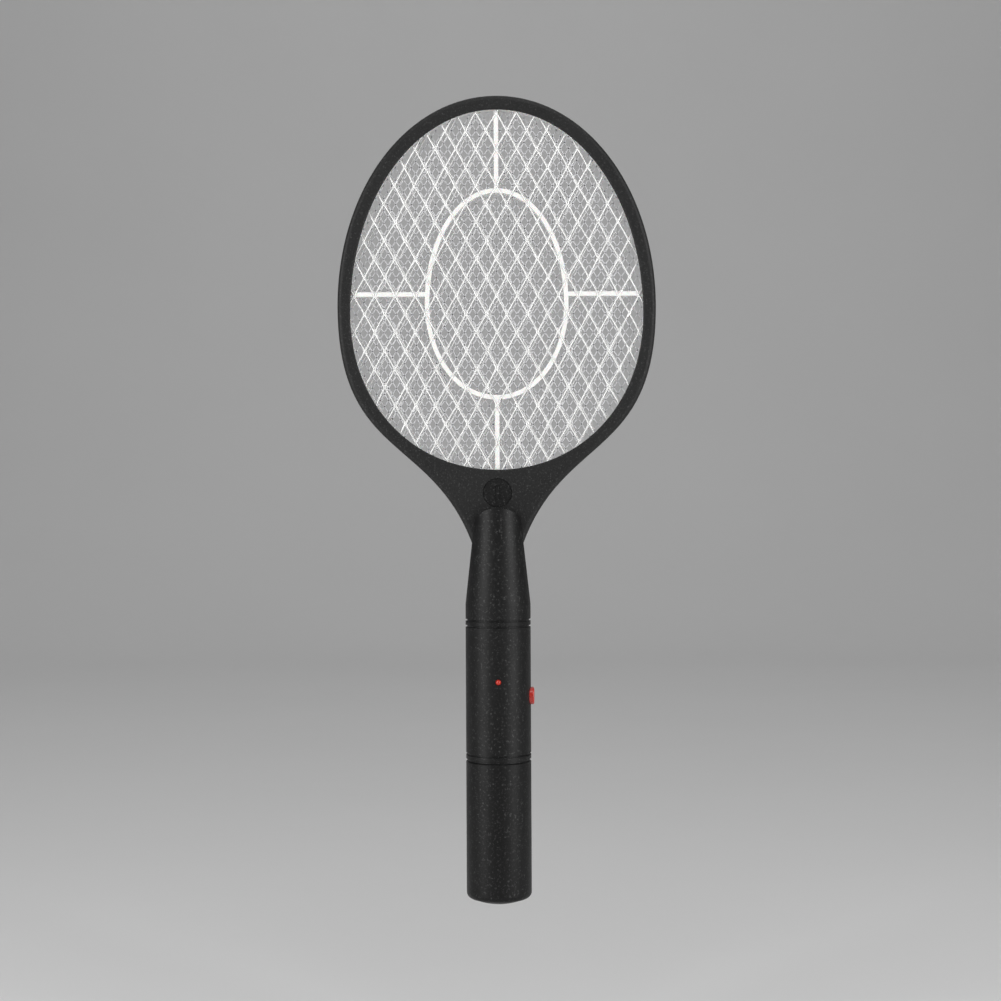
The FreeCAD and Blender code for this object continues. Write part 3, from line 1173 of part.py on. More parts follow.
cell_x = size(CELL_X)
board_y = size("Dim.board_face")
board_foot = size(BOARD_FOOT)
terminal_z = size(CELL_TOP)
dip_z = board_foot - size("Dim.lead_dip")
dip_y = board_y - size("Dim.lead_stand")
joint_z = board_foot + size("Dim.lead_inset")
battery_routes = []
for x in (-cell_x, cell_x):
    rise = [(x, 0, terminal_z), (x, 0, dip_z)]
    battery_routes.append(rise + [(x, dip_y, dip_z), (x, dip_y, joint_z), (x, board_y, joint_z)])
lead("battery_leads", *battery_routes)
high_z = size(f"{BOARD_TOP} - Dim.high_inset")
loop_z = high_z + size("2 * Dim.high_inset")
loop_y = board_y - size("Dim.high_stand")
centre_y = -inner_half - lead_radius
tab_z = strap_low + size("Dim.tab_width")
lead("centre_lead", [
    (tab_x, board_y, high_z), (tab_x, loop_y, high_z), (tab_x, loop_y, loop_z), (tab_x, centre_y, loop_z),
    (tab_x, centre_y, tab_z)])
outer_y = outer_mesh - seat_y + lead_radius
lead("outer_lead", [(-tab_x, board_y, high_z), (-tab_x, outer_y, high_z), (-tab_x, outer_y, strap_low)])


# ---------------------------------------------------------------- checks and files

NODES = (
    "front_frame", "rear_frame", "frame_screws", "front_mesh", "rear_mesh", "centre_mesh", "front_spacer",
    "rear_spacer", "mesh_strap", "medallion", "handle_front", "handle_rear", "handle_screws", "battery_cap",
    "battery_tray", "cell_left", "cell_right", "bridge_contact", "terminal_plates", "contact_springs",
    "circuit_board", "transformer_core", "transformer_winding", "film_capacitor", "transistor", "diodes",
    "resistors", "disc_capacitors", "lamp", "lamp_legs", "switch_body", "switch_plunger", "push_button",
    "battery_leads", "centre_lead", "outer_lead",
)

doc.recompute()
for obj in doc.Objects:
    assert "Invalid" not in obj.State and "Error" not in obj.State, obj.Label + " failed"
for node in NODES:
    shape = doc.getObjectsByLabel(node)[0].Shape
    assert not shape.isNull() and shape.isValid() and shape.Solids, node + " has no valid solid"

os.makedirs("parts", exist_ok=True)
for node in NODES:
    shape = doc.getObjectsByLabel(node)[0].Shape
    shape.exportStep(f"parts/{node}.step")
    box = shape.BoundBox
    across = f"X {box.XMin:7.1f} {box.XMax:7.1f}  Y {box.YMin:6.1f} {box.YMax:6.1f}"
    print(f"{node:20s} {len(shape.Solids):2d} solids {shape.Volume:10.1f} mm3  {across}"
          f"  Z {box.ZMin:6.1f} {box.ZMax:6.1f}")
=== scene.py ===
# %% [markdown]
# # Electric fly swatter
# A racket-shaped swatter: a black moulded frame holds three metal meshes apart with white ribs, and
# a round black handle holds two cells, the high-voltage circuit, a red push button and a red lamp.
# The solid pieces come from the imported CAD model.  This lesson gives each of them its finish, builds
# the three wire meshes strand by strand, and sets up a plain studio.

# %% Load the frame
import math

import bpy
import numpy as np
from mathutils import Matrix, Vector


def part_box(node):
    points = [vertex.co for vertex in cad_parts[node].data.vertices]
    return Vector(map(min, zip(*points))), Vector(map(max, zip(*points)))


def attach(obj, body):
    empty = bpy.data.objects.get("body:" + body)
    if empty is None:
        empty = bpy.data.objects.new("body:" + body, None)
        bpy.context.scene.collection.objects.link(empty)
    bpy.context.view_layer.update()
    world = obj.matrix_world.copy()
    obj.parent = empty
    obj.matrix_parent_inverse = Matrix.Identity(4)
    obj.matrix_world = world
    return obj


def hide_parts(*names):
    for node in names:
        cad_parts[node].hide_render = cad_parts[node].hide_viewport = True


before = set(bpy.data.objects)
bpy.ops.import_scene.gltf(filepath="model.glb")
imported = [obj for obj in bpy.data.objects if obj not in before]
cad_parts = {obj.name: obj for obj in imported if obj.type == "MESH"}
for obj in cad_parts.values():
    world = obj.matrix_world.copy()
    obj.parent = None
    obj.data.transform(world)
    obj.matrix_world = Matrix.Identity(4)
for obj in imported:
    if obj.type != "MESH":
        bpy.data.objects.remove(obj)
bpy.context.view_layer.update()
MM = 0.001
print("pieces in the frame:", len(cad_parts))

# %% [markdown]
# ## Camera
# The swatter is seen square from the front, from a bit less than a metre, at half its height.  A lens
# of normal length keeps the round handle and the flat head in their true proportions.  The camera
# is turned by a quarter of a degree, so that the swatter is seen to lean by as much.

# %% Camera
SENSOR = 36.0
VIEW_DISTANCE = 970 * MM
VIEW_WIDTH = 547.6 * MM
VIEW_HEIGHT = 219.9 * MM
VIEW_ASIDE = 1.6 * MM
LEAN = math.radians(0.26)
NEAREST = 10 * MM

camera_data = bpy.data.cameras.new("camera")
camera_data.sensor_width = SENSOR
camera_data.lens = SENSOR * VIEW_DISTANCE / VIEW_WIDTH
camera_data.clip_start = NEAREST
camera = bpy.data.objects.new("camera", camera_data)
camera.location = (VIEW_ASIDE, -VIEW_DISTANCE, VIEW_HEIGHT)
camera.rotation_euler = (math.pi / 2, LEAN, 0)
bpy.context.scene.collection.objects.link(camera)
bpy.context.scene.camera = camera
print("lens", round(camera_data.lens, 1), "mm")

# %% [markdown]
# ## Tools for materials
# Colours are written as a designer picks them, as sRGB hex values, and Blender wants them linear.
# A material is a small tree of nodes.  It could be built by hand in the shader editor, but written
# down it can be read and changed: one function adds a node with its settings, its numbers and its
# links, and another leads a finish's colour, gloss and relief into the shader.  Sizes in a pattern
# are real: a noise of scale 1000 repeats about once a millimetre, because Object coordinates are
# in metres.


# %% Material helpers
def linear(hex_colour):
    """Linear RGBA of an sRGB hex colour: each channel is undone from the sRGB curve."""
    channels = [int(hex_colour[i:i + 2], 16) / 255 for i in (1, 3, 5)]
    return [c / 12.92 if c <= 0.04045 else ((c + 0.055) / 1.055) ** 2.4 for c in channels] + [1.0]


def add(tree, kind, values=None, links=None, stops=(), **settings):
    """Add a node: settings are its properties, values its inputs' numbers, links its inputs'
    sources, and stops the places and hex colours along a colour ramp."""
    node = tree.nodes.new(kind)
    for name, value in settings.items():
        setattr(node, name, value)
    for socket, value in (values or {}).items():
        node.inputs[socket].default_value = value
    for socket, source in (links or {}).items():
        tree.links.new(source, node.inputs[socket])
    for position, _ in stops[2:]:
        node.color_ramp.elements.new(position)
    for number, (position, shade) in enumerate(stops):
        node.color_ramp.elements[number].position = position
        node.color_ramp.elements[number].color = linear(shade)
    return node


def new_material(name, **values):
    """Material with a Principled shader; returns it with its tree, shader and object coordinates."""
    material = bpy.data.materials.new(name)
    material.use_nodes = True
    tree = material.node_tree
    shader = tree.nodes["Principled BSDF"]
    for socket, value in values.items():
        shader.inputs[socket.replace("_", " ")].default_value = value
    place = add(tree, "ShaderNodeTexCoord").outputs["Object"]
    return material, tree, shader, place


def per_mm(length):
    """Noise scale whose features are about that many millimetres apart."""
    return 1.0 / (length * MM)


# A noise seldom leaves this stretch of its range from 0 to 1.
NOISE_SPAN = (0.3, 0.7)


def dress(tree, shader, colour, wear, gloss, relief, strength, depth, span=NOISE_SPAN):
    """Colour, roughness and bump of a finish: the roughness runs between the two values of gloss
    while the wear pattern runs over its span, and the relief pattern rises by a depth in mm."""
    limits = {"From Min": span[0], "From Max": span[1], "To Min": gloss[0], "To Max": gloss[1]}
    rough = add(tree, "ShaderNodeMapRange", limits, {"Value": wear})
    raised = {"Strength": strength, "Distance": depth * MM}
    bump = add(tree, "ShaderNodeBump", raised, {"Height": relief})
    tree.links.new(colour, shader.inputs["Base Color"])
    tree.links.new(rough.outputs["Result"], shader.inputs["Roughness"])
    tree.links.new(bump.outputs["Normal"], shader.inputs["Normal"])


print("black in linear light:", [round(c, 3) for c in linear("#1a1a1a")])

# %% [markdown]
# ## Black ABS
# The frame, the handle and the cap are injection-moulded ABS, dyed black.  The mould is spark-eroded,
# so the skin is an even field of tiny pits that spreads the light into broad soft bands.  A picture
# of the grain could be wrapped round each piece, but noise in Object coordinates has no seam and
# keeps its real size.  The real grain is about 0.2 mm, too fine to show, so it is drawn at 0.6 to
# 0.8 mm, with a scatter of pale specks, painted highlights where the grain catches light, and slow
# changes in gloss where hands polish it.  The handle and the cap are the same plastic in darker
# colours than the frame: painted shade that damps the soft boxes' reflections on them.


# %% Black ABS
# Sockets of a Mix node for colours, by number, because several of them share a name.
MIX_FACTOR = 0
MIX_FIRST = 6
MIX_SECOND = 7
MIX_RESULT = 2
# Colour of the pale specks: painted highlights where the grain catches light.
GLINT_SPECK_TONE = "#4c4c4c"
SPECK_SPACING = 1.7
POLISH_PATCH = 30.0


def moulded_abs(name, dark, light, gloss, grain):
    """Textured black plastic: pits from a fine noise, pale specks of painted highlight from the peaks
    of a coarser one, and gloss from a slow one."""
    material, tree, shader, place = new_material(name, IOR=1.54, Specular_IOR_Level=0.23)
    fine = {"Scale": per_mm(grain), "Detail": 3.0, "Roughness": 0.62}
    pits = add(tree, "ShaderNodeTexNoise", fine, {"Vector": place}).outputs["Fac"]
    slow = {"Scale": per_mm(POLISH_PATCH), "Detail": 2.0}
    cloud = add(tree, "ShaderNodeTexNoise", slow, {"Vector": place}).outputs["Fac"]
    coarse = {"Scale": per_mm(grain * SPECK_SPACING), "Detail": 2.0, "Roughness": 0.8}
    specks = add(tree, "ShaderNodeTexNoise", coarse, {"Vector": place}).outputs["Fac"]
    tone = add(tree, "ShaderNodeValToRGB", links={"Fac": pits}, stops=((0.3, dark), (0.75, light)))
    peaks = {"From Min": 0.57, "From Max": 0.72, "To Min": 0.0, "To Max": 0.7}
    # Where the specks show: the share of painted highlight mixed into the colour.
    bright = add(tree, "ShaderNodeMapRange", peaks, {"Value": specks}).outputs["Result"]
    mixed = add(tree, "ShaderNodeMix", data_type="RGBA", values={MIX_SECOND: linear(GLINT_SPECK_TONE)},
                links={MIX_FACTOR: bright, MIX_FIRST: tone.outputs["Color"]})
    dress(tree, shader, mixed.outputs[MIX_RESULT], cloud, (gloss - 0.05, gloss + 0.06), pits, 0.5, 0.12)
    return material


frame_abs = moulded_abs("black_ABS_moulded_frame", "#1a1a1a", "#262626", 0.5, 0.7)
# The handle and the cap are darker copies of the frame's plastic: their darker colours are painted shade.
handle_abs_painted_darker = moulded_abs("black_ABS_handle_painted_shade", "#080808", "#161616", 0.45, 0.8)
cap_abs_painted_darker = moulded_abs("black_ABS_cap_painted_shade", "#040404", "#121212", 0.45, 0.8)
badge_abs = moulded_abs("black_ABS_moulded_medallion", "#121212", "#1c1c1c", 0.4, 0.6)
tray_abs = moulded_abs("dark_ABS_moulded_tray", "#3a3a3b", "#444445", 0.5, 0.6)
print("black plastics made")

# %% [markdown]
# ## White and red plastics
# The ribs between the meshes are moulded polypropylene: white, satin and a little translucent, so
# light from behind keeps their shaded sides bright.  The button is glossy red ABS with faint flow
# marks, and the lamp is tinted clear epoxy that glows a little in its own colour.  One plain colour
# each would look painted, so two close colours drift over the piece and a very shallow orange peel
# breaks up the highlight.


# %% White and red plastics
PEEL_SHARE = 9


def satin_plastic(name, low, high, roughness, patch, depth, **values):
    """Smooth moulded plastic: two close colours over slow patches and a very shallow orange peel."""
    material, tree, shader, place = new_material(name, **values)
    wide = {"Scale": per_mm(patch), "Detail": 4.0}
    slow = add(tree, "ShaderNodeTexNoise", wide, {"Vector": place}).outputs["Fac"]
    close = {"Scale": per_mm(patch / PEEL_SHARE), "Detail": 2.0}
    peel = add(tree, "ShaderNodeTexNoise", close, {"Vector": place}).outputs["Fac"]
    tone = add(tree, "ShaderNodeValToRGB", links={"Fac": slow}, stops=((0, low), (1, high)))
    gloss = (roughness - 0.05, roughness + 0.05)
    dress(tree, shader, tone.outputs["Color"], peel, gloss, peel, 0.3, depth)
    return material


rib_white = satin_plastic("white_polypropylene_ribs", "#ecebe8", "#f8f8f6", 0.42, 12, 0.02, IOR=1.49,
                          Subsurface_Weight=0.12, Subsurface_Scale=2 * MM)
button_red = satin_plastic("red_ABS_glossy_button", "#b3261c", "#c8342a", 0.26, 5, 0.015, IOR=1.54,
                           Coat_Weight=0.25)
lamp_red = satin_plastic("red_epoxy_lamp", "#b5281f", "#d2412f", 0.14, 3, 0.004, IOR=1.55,
                         Transmission_Weight=0.25, Emission_Color=linear("#c8281a"),
                         Emission_Strength=0.12)
print("white and red plastics made")

# %% [markdown]
# ## Metals
# The outer meshes are slit and stretched aluminium sheet, bright and slightly satin where the tool
# drew it.  The centre mesh is zinc-plated steel, duller and greyer, so it reads as a veil behind the
# bright strands.  Screws and contacts are plated steel with a fine grain from turning or rolling.
# A metal shows only reflections, so its grain is seen mostly as changes in gloss and relief.


# %% Metals
STAIN_SHARE = 12


def worked_metal(name, low, high, roughness, grain, depth, stretch=(1, 1, 1)):
    """Metal with a grain: noise stretched along the way it was worked drives gloss and bump, and
    a slow noise drives its colour."""
    material, tree, shader, place = new_material(name, Metallic=1.0)
    drawn = add(tree, "ShaderNodeMapping", {"Scale": stretch}, {"Vector": place}).outputs["Vector"]
    close = {"Scale": per_mm(grain), "Detail": 3.0}
    lines = add(tree, "ShaderNodeTexNoise", close, {"Vector": drawn}).outputs["Fac"]
    wide = {"Scale": per_mm(grain * STAIN_SHARE), "Detail": 2.0}
    stain = add(tree, "ShaderNodeTexNoise", wide, {"Vector": place}).outputs["Fac"]
    tone = add(tree, "ShaderNodeValToRGB", links={"Fac": stain}, stops=((0, low), (1, high)))
    gloss = (roughness - 0.08, roughness + 0.1)
    dress(tree, shader, tone.outputs["Color"], lines, gloss, lines, 0.4, depth)
    return material


aluminium = worked_metal("expanded_aluminium_outer_mesh", "#e9e9e7", "#fbfbfa", 0.5, 1.2, 0.03)
zinc_mesh = worked_metal("zinc_plated_steel_centre_mesh", "#e2e2e4", "#f0f0f2", 0.66, 0.8, 0.02)
screw_zinc = worked_metal("zinc_plated_screw_steel", "#8c8c8e", "#b4b4b4", 0.32, 0.5, 0.01)
contact_nickel = worked_metal("nickel_plated_spring_steel", "#a8a59c", "#cfcbc0", 0.25, 0.4, 0.01, (1, 1, 6))
print("metals made")

# %% [markdown]
# ## Finishes of the works inside
# Behind the shells lie a paper-laminate board, a ferrite core, a taped winding, dipped and moulded
# components, PVC leads and two cells in plain film.  They show only when the handle is open, but
# each has the skin of the real thing: fibres in the laminate, a sintered grain, the wrap of tape.
# Stripes come from a wave texture, and the cells' bands from the height on the cell, so no piece
# has to be unwrapped.


# %% Finishes of the works inside
WAVE_SCALE = 1 / math.pi
FILM_FROM = 0.012
BAND_FROM = 0.66
BAND_TO = 0.70
FILM_TO = 0.965


def striped(name, low, high, spacing, axis, roughness, **values):
    """Plastic or tape with soft stripes across one axis, about so many millimetres apart."""
    material, tree, shader, place = new_material(name, **values)
    pattern = {"Scale": per_mm(spacing) * WAVE_SCALE, "Distortion": 1.2, "Detail": 2.0}
    bands = add(tree, "ShaderNodeTexWave", pattern, {"Vector": place}, bands_direction=axis).outputs["Fac"]
    tone = add(tree, "ShaderNodeValToRGB", links={"Fac": bands}, stops=((0, low), (1, high)))
    gloss = (roughness - 0.06, roughness + 0.06)
    dress(tree, shader, tone.outputs["Color"], bands, gloss, bands, 0.3, 0.05, span=(0, 1))
    return material


def cell_wrap(name, node, plus_up):
    """Film sleeve with bare steel ends: height on the cell picks film, a pale band or metal."""
    low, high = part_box(node)
    material, tree, shader, place = new_material(name, IOR=1.5, Coat_Weight=0.5)
    height = add(tree, "ShaderNodeSeparateXYZ", links={"Vector": place}).outputs["Z"]
    foot, top = (0.0, 1.0) if plus_up else (1.0, 0.0)
    limits = {"From Min": low[2], "From Max": high[2], "To Min": foot, "To Max": top}
    share = add(tree, "ShaderNodeMapRange", limits, {"Value": height}).outputs["Result"]
    film_stops = ((0.0, "#b9b9b8"), (FILM_FROM, "#28406b"), (BAND_FROM, "#d9dadb"), (BAND_TO, "#39598f"),
                  (FILM_TO, "#bdbdbb"))
    steel_stops = ((0.0, "#ffffff"), (FILM_FROM, "#000000"), (FILM_TO, "#ffffff"))
    film = add(tree, "ShaderNodeValToRGB", links={"Fac": share}, stops=film_stops)
    steel = add(tree, "ShaderNodeValToRGB", links={"Fac": share}, stops=steel_stops)
    film.color_ramp.interpolation = "CONSTANT"
    steel.color_ramp.interpolation = "CONSTANT"
    scuff = add(tree, "ShaderNodeTexNoise", {"Scale": per_mm(2.5), "Detail": 4.0}, {"Vector": place})
    worn = {"From Min": NOISE_SPAN[0], "From Max": NOISE_SPAN[1], "To Min": 0.24, "To Max": 0.4}
    rough = add(tree, "ShaderNodeMapRange", worn, {"Value": scuff.outputs["Fac"]})
    tree.links.new(film.outputs["Color"], shader.inputs["Base Color"])
    tree.links.new(steel.outputs["Color"], shader.inputs["Metallic"])
    tree.links.new(rough.outputs["Result"], shader.inputs["Roughness"])
    return material


finishes = {
    "laminate": striped("paper_laminate_board", "#9c7440", "#b08850", 0.4, "Z", 0.5),
    "ferrite": satin_plastic("sintered_ferrite_core", "#333335", "#434346", 0.6, 1.5, 0.03),
    "tape": striped("polyester_tape_winding", "#c69a2c", "#dcb53e", 1.2, "Z", 0.3, Coat_Weight=0.4),
    "resin": satin_plastic("dipped_resin_capacitor", "#7c2018", "#98301f", 0.28, 3, 0.03, Coat_Weight=0.5),
    "epoxy": satin_plastic("moulded_epoxy_black", "#1c1c1d", "#28282a", 0.5, 1.0, 0.02),
    "lacquer": striped("lacquered_resistor", "#b59a6a", "#7d5a3c", 1.4, "X", 0.35, Coat_Weight=0.4),
    "vinyl": satin_plastic("red_PVC_lead", "#8f1d17", "#a72a20", 0.38, 4, 0.01),
}
cell_finish = {
    "cell_left": cell_wrap("film_wrap_cell_left", "cell_left", True),
    "cell_right": cell_wrap("film_wrap_cell_right", "cell_right", False),
}
print("inner finishes made:", len(finishes) + len(cell_finish))

# %% [markdown]
# ## Which piece has which finish
# Each piece of the CAD model is one object with one material.  A table from piece to finish is
# easier to check than a row of single steps, and a piece that it leaves out stops the script.

# %% Give every CAD piece its finish
finish_of = {
    "front_frame": frame_abs, "rear_frame": frame_abs, "medallion": badge_abs,
    "handle_front": handle_abs_painted_darker, "handle_rear": handle_abs_painted_darker, "battery_cap": cap_abs_painted_darker, "battery_tray": tray_abs,
    "front_spacer": rib_white, "rear_spacer": rib_white,
    "front_mesh": aluminium, "rear_mesh": aluminium, "centre_mesh": zinc_mesh,
    "frame_screws": screw_zinc, "handle_screws": screw_zinc, "mesh_strap": contact_nickel,
    "bridge_contact": contact_nickel, "terminal_plates": contact_nickel, "contact_springs": contact_nickel,
    "lamp_legs": contact_nickel, "push_button": button_red, "lamp": lamp_red,
    "circuit_board": finishes["laminate"], "transformer_core": finishes["ferrite"],
    "transformer_winding": finishes["tape"], "film_capacitor": finishes["resin"],
    "disc_capacitors": finishes["resin"], "transistor": finishes["epoxy"], "diodes": finishes["epoxy"],
    "switch_body": finishes["epoxy"], "switch_plunger": finishes["epoxy"], "resistors": finishes["lacquer"],
    "battery_leads": finishes["vinyl"], "centre_lead": finishes["vinyl"], "outer_lead": finishes["vinyl"],
    "cell_left": cell_finish["cell_left"], "cell_right": cell_finish["cell_right"],
}
for name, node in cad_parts.items():
    node.data.materials.clear()
    node.data.materials.append(finish_of[name])
print("nodes with a finish:", len(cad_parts))

# %% [markdown]
# ## The wire meshes
# Expanded metal is a sheet cut in short rows of slits and pulled open, so every strand is a flat
# ribbon that leans a little, and four ribbons meet in a wider knuckle.  A picture of a mesh on a
# plane would look painted on, so each strand is a real closed bar.  All strands are worked out at
# once: the knuckles stand on a diamond lattice, two strands climb from each, and those that cross
# the egg-shaped seat in the frame are cut off where they meet it.
#
# The seat comes first.  Its width and height are read from the rib frame, which lies in it, and its
# sides are cubic curves, a little fuller than an ellipse, as on the CAD's own opening.

# %% Outline of the seat
# Height of the widest part of the seat, and how full the egg is above and below it.
SEAT_MIDDLE = 321.8 * MM
CROWN_ROUND = 0.56
BELLY_ROUND = 0.578
seat_low, seat_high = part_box("front_spacer")


def quarter(reach, rise, full, count=160):
    """Quarter of the egg: a cubic curve from the side to the top, full sets how square it is."""
    t = np.linspace(0, 1, count)[:, None]
    poles = np.array([(reach, 0), (reach, rise * full), (reach * full, rise), (0, rise)])
    return ((1 - t) ** 3 * poles[0] + 3 * t * (1 - t) ** 2 * poles[1]
            + 3 * t * t * (1 - t) * poles[2] + t ** 3 * poles[3])


upper = quarter(seat_high[0], seat_high[2] - SEAT_MIDDLE, CROWN_ROUND)
lower = quarter(seat_high[0], seat_low[2] - SEAT_MIDDLE, BELLY_ROUND)[::-1]
edge_line = np.vstack([lower[:-1], upper])
edge_angle = np.arctan2(edge_line[:, 1], edge_line[:, 0])
edge_radius = np.hypot(edge_line[:, 0], edge_line[:, 1])


def inside_seat(points):
    """How far inside the seat's edge each point (x, z) lies, in metres; negative is outside."""
    across = np.abs(points[..., 0])
    up = points[..., 1] - SEAT_MIDDLE
    return np.interp(np.arctan2(up, across), edge_angle, edge_radius) - np.hypot(across, up)


print("seat", np.round(seat_high[0] * 2, 4), "m wide,", np.round(seat_high[2] - seat_low[2], 4), "m tall")


# %% [markdown]
# ### A lattice of knuckles
# The knuckles could be placed one by one in a loop, but there are thousands of strands, so whole
# arrays are worked out in one step.  Each knuckle is off its place by a small random amount, as in
# real stretched sheet, and all the strands that meet there follow it.

# %% Strands on a diamond lattice
COARSE = (11.1 * MM, 20.0 * MM)
FINE = (4.4 * MM, 6.7 * MM)
SPARE_ROWS = 3
HALVINGS = 14
SHORTEST_SHARE = 0.06


def lattice_strands(wide, tall, shift, waver, seed):
    """Ends of all strands: knuckles sit where column plus row is odd, each sends two strands up.

    Every knuckle is moved by a small random amount, and strands are cut at the seat's edge by
    halving the stretch that holds the crossing."""
    columns = int(seat_high[0] * 2 / wide) + SPARE_ROWS
    rows = int((seat_high[2] - seat_low[2]) / tall) + SPARE_ROWS
    column, row = np.meshgrid(np.arange(-columns, columns + 1), np.arange(-rows, rows + 1), indexing="ij")
    spread = np.random.default_rng(seed).normal(0, waver, column.shape + (2,))
    knuckle = np.stack([column * wide / 2 + shift, SEAT_MIDDLE + row * tall / 2], -1) + spread
    odd = (column + row) % 2 == 1
    pairs = []
    for step in (1, -1):
        start = knuckle[1:-1, :-1]
        end = knuckle[1 + step:len(knuckle) - 1 + step, 1:]
        pairs.append(np.stack([start, end], 2)[odd[1:-1, :-1]])
    ends = np.concatenate(pairs)
    depth = inside_seat(ends)
    ends = ends[(depth > 0).any(1)]
    depth = inside_seat(ends)
    flip = depth[:, 0] < 0
    ends[flip] = ends[flip][:, ::-1]
    low = np.zeros(len(ends))
    high = np.where(inside_seat(ends[:, 1]) < 0, 1.0, 0.0)
    crossing = high > 0
    for _ in range(HALVINGS):
        middle = (low + high) / 2
        point = ends[:, 0] + (ends[:, 1] - ends[:, 0]) * middle[:, None]
        within = inside_seat(point) > 0
        low = np.where(crossing & within, middle, low)
        high = np.where(crossing & ~within, middle, high)
    reach = np.where(crossing, low, 1.0)[:, None]
    ends[:, 1] = ends[:, 0] + (ends[:, 1] - ends[:, 0]) * reach
    long_enough = np.hypot(*(ends[:, 1] - ends[:, 0]).T) > wide * SHORTEST_SHARE
    return ends[long_enough]


for label, (wide, tall) in (("coarse", COARSE), ("fine", FINE)):
    print(label, "strand", round(math.hypot(wide, tall) / 2 / MM, 1), "mm long")

# %% [markdown]
# ### Strands as closed bars
# A curve with a round bevel would be quicker to write, but real strands are flat ribbons with
# rounded edges, and they lean.  So a small ring of corners is carried along every strand, and a
# few faces close each end.  The faces run so that they all point outward.

# %% Bars from strands
SQUARENESS = 0.6
KNUCKLE_ONSET = 5


def closed_bars(name, ends, level, width, thickness, sides, stations, lean, knuckle):
    """Mesh of closed bars between pairs of points (x, z).

    Each bar is a ring of corners carried along its line.  The ring is an ellipse pulled towards a
    rectangle, width by thickness.  It turns about the bar by the lean times the sine of half a turn
    along it, so not at all at the ends and most at the middle, and widens by the knuckle share
    times the fifth power of the distance from the middle, so only near the ends."""
    t = np.array(stations)
    start = ends[:, 0][:, None]
    run = (ends[:, 1] - ends[:, 0])[:, None]
    centre = start + run * t[None, :, None]
    along = run / np.linalg.norm(run, axis=-1, keepdims=True)
    side = np.stack([-along[..., 1], along[..., 0]], -1)
    sign = np.sign(along[..., 0] * along[..., 1])
    turn = lean * sign * np.sin(np.pi * t)[None, :]
    grow = 1 + knuckle * np.abs(2 * t - 1)[None, :] ** KNUCKLE_ONSET
    angle = (np.arange(sides) + 0.5) * 2 * np.pi / sides
    square = np.maximum(np.abs(np.cos(angle)), np.abs(np.sin(angle))) ** -SQUARENESS
    across = (np.cos(angle) * square)[None, None] * (width / 2 * grow)[..., None]
    through = (np.sin(angle) * square)[None, None] * thickness / 2
    flat = across * np.cos(turn)[..., None] - through * np.sin(turn)[..., None]
    deep = across * np.sin(turn)[..., None] + through * np.cos(turn)[..., None]
    x = centre[..., 0][..., None] + side[..., 0][..., None] * flat
    z = centre[..., 1][..., None] + side[..., 1][..., None] * flat
    corners = np.stack([x, level + deep, z], -1)
    count, steps = len(ends), len(t)
    first = np.arange(count)[:, None, None] * steps * sides
    ring = first + np.arange(steps - 1)[None, :, None] * sides
    here = np.arange(sides)[None, None]
    after = (here + 1) % sides
    walls = np.stack([ring + here, ring + sides + here, ring + sides + after, ring + after], -1)
    fan = np.array([(0, k, k + 1, k + 2) for k in range(1, sides - 2, 2)])[None]
    foot_cap = first + fan
    head_cap = first + (steps - 1) * sides + fan[..., ::-1]
    faces = np.concatenate([part.reshape(-1, 4) for part in (walls, foot_cap, head_cap)])
    data = bpy.data.meshes.new(name)
    data.from_pydata(corners.reshape(-1, 3).tolist(), [], faces.tolist())
    data.update()
    piece = bpy.data.objects.new(name, data)
    bpy.context.scene.collection.objects.link(piece)
    print(name, "strands", count, "triangles", 2 * len(data.polygons))
    return piece


fill = math.cos(math.pi / 8) ** (1 - SQUARENESS)
print("a ring of eight corners fills", round(fill, 2), "of a strand's width")

# %% [markdown]
# ### Two coarse meshes and one fine mesh
# The outer meshes have tall diamonds, 11 by 20 mm.  The rear one sits a little to the side of the
# front one, and that is why the lines look doubled.  The centre mesh has small diamonds, about
# 4.4 by 6.7 mm, of thin strands, and carries the high voltage.  Its strands are so many and so thin
# that four corners are enough for each ring.

# %% The three meshes
SEVEN_STATIONS = (0.0, 0.1, 0.26, 0.5, 0.74, 0.9, 1.0)
FOUR_STATIONS = (0.0, 0.2, 0.8, 1.0)


def middle_y(node):
    """Height of a flat node's middle plane along Y."""
    low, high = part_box(node)
    return (low[1] + high[1]) / 2


def mesh_piece(name, node, pitch, shift, waver, seed, section):
    """One expanded-metal mesh in the place of its CAD plate."""
    width, thickness, sides, stations, lean, knuckle = section
    ends = lattice_strands(pitch[0], pitch[1], shift, waver, seed)
    piece = closed_bars(name, ends, middle_y(node), width, thickness, sides, stations, lean, knuckle)
    piece.data.materials.append(finish_of[node])
    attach(piece, "swatter")
    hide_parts(node)


# Section of a strand: width, thickness, corners in its ring, rings, lean and widening at a knuckle.
COARSE_SECTION = (0.7 * MM, 0.5 * MM, 8, SEVEN_STATIONS, math.radians(16), 0.55)
FINE_SECTION = (0.58 * MM, 0.4 * MM, 4, FOUR_STATIONS, 0.0, 0.25)
REAR_SHIFT = 1.4 * MM

mesh_piece("front_wire_mesh", "front_mesh", COARSE, shift=0.0, waver=0.16 * MM, seed=3,
           section=COARSE_SECTION)
mesh_piece("rear_wire_mesh", "rear_mesh", COARSE, shift=REAR_SHIFT, waver=0.2 * MM, seed=5,
           section=COARSE_SECTION)
mesh_piece("centre_wire_mesh", "centre_mesh", FINE, shift=0.0, waver=0.07 * MM, seed=7,
           section=FINE_SECTION)

# %% [markdown]
# ## Studio
# A pale sweep of paper, floor and wall in one curve, stands well behind the swatter.  A floor and a
# wall would be simpler, but they meet in a line, and a curve hides it.  The swatter hangs a little
# above the paper, since its domed end can't stand and the cap is drawn off downward.

# %% Paper sweep
# The sweep's ends, the radius of its curve, its height, half its width and its floor, in metres.
FLOOR_FRONT = -6.0
FLOOR_BACK = 2.4
SWEEP_ROUND = 1.6
SWEEP_TOP = 4.5
SWEEP_HALF = 6.0
FLOOR_LEVEL = -90 * MM


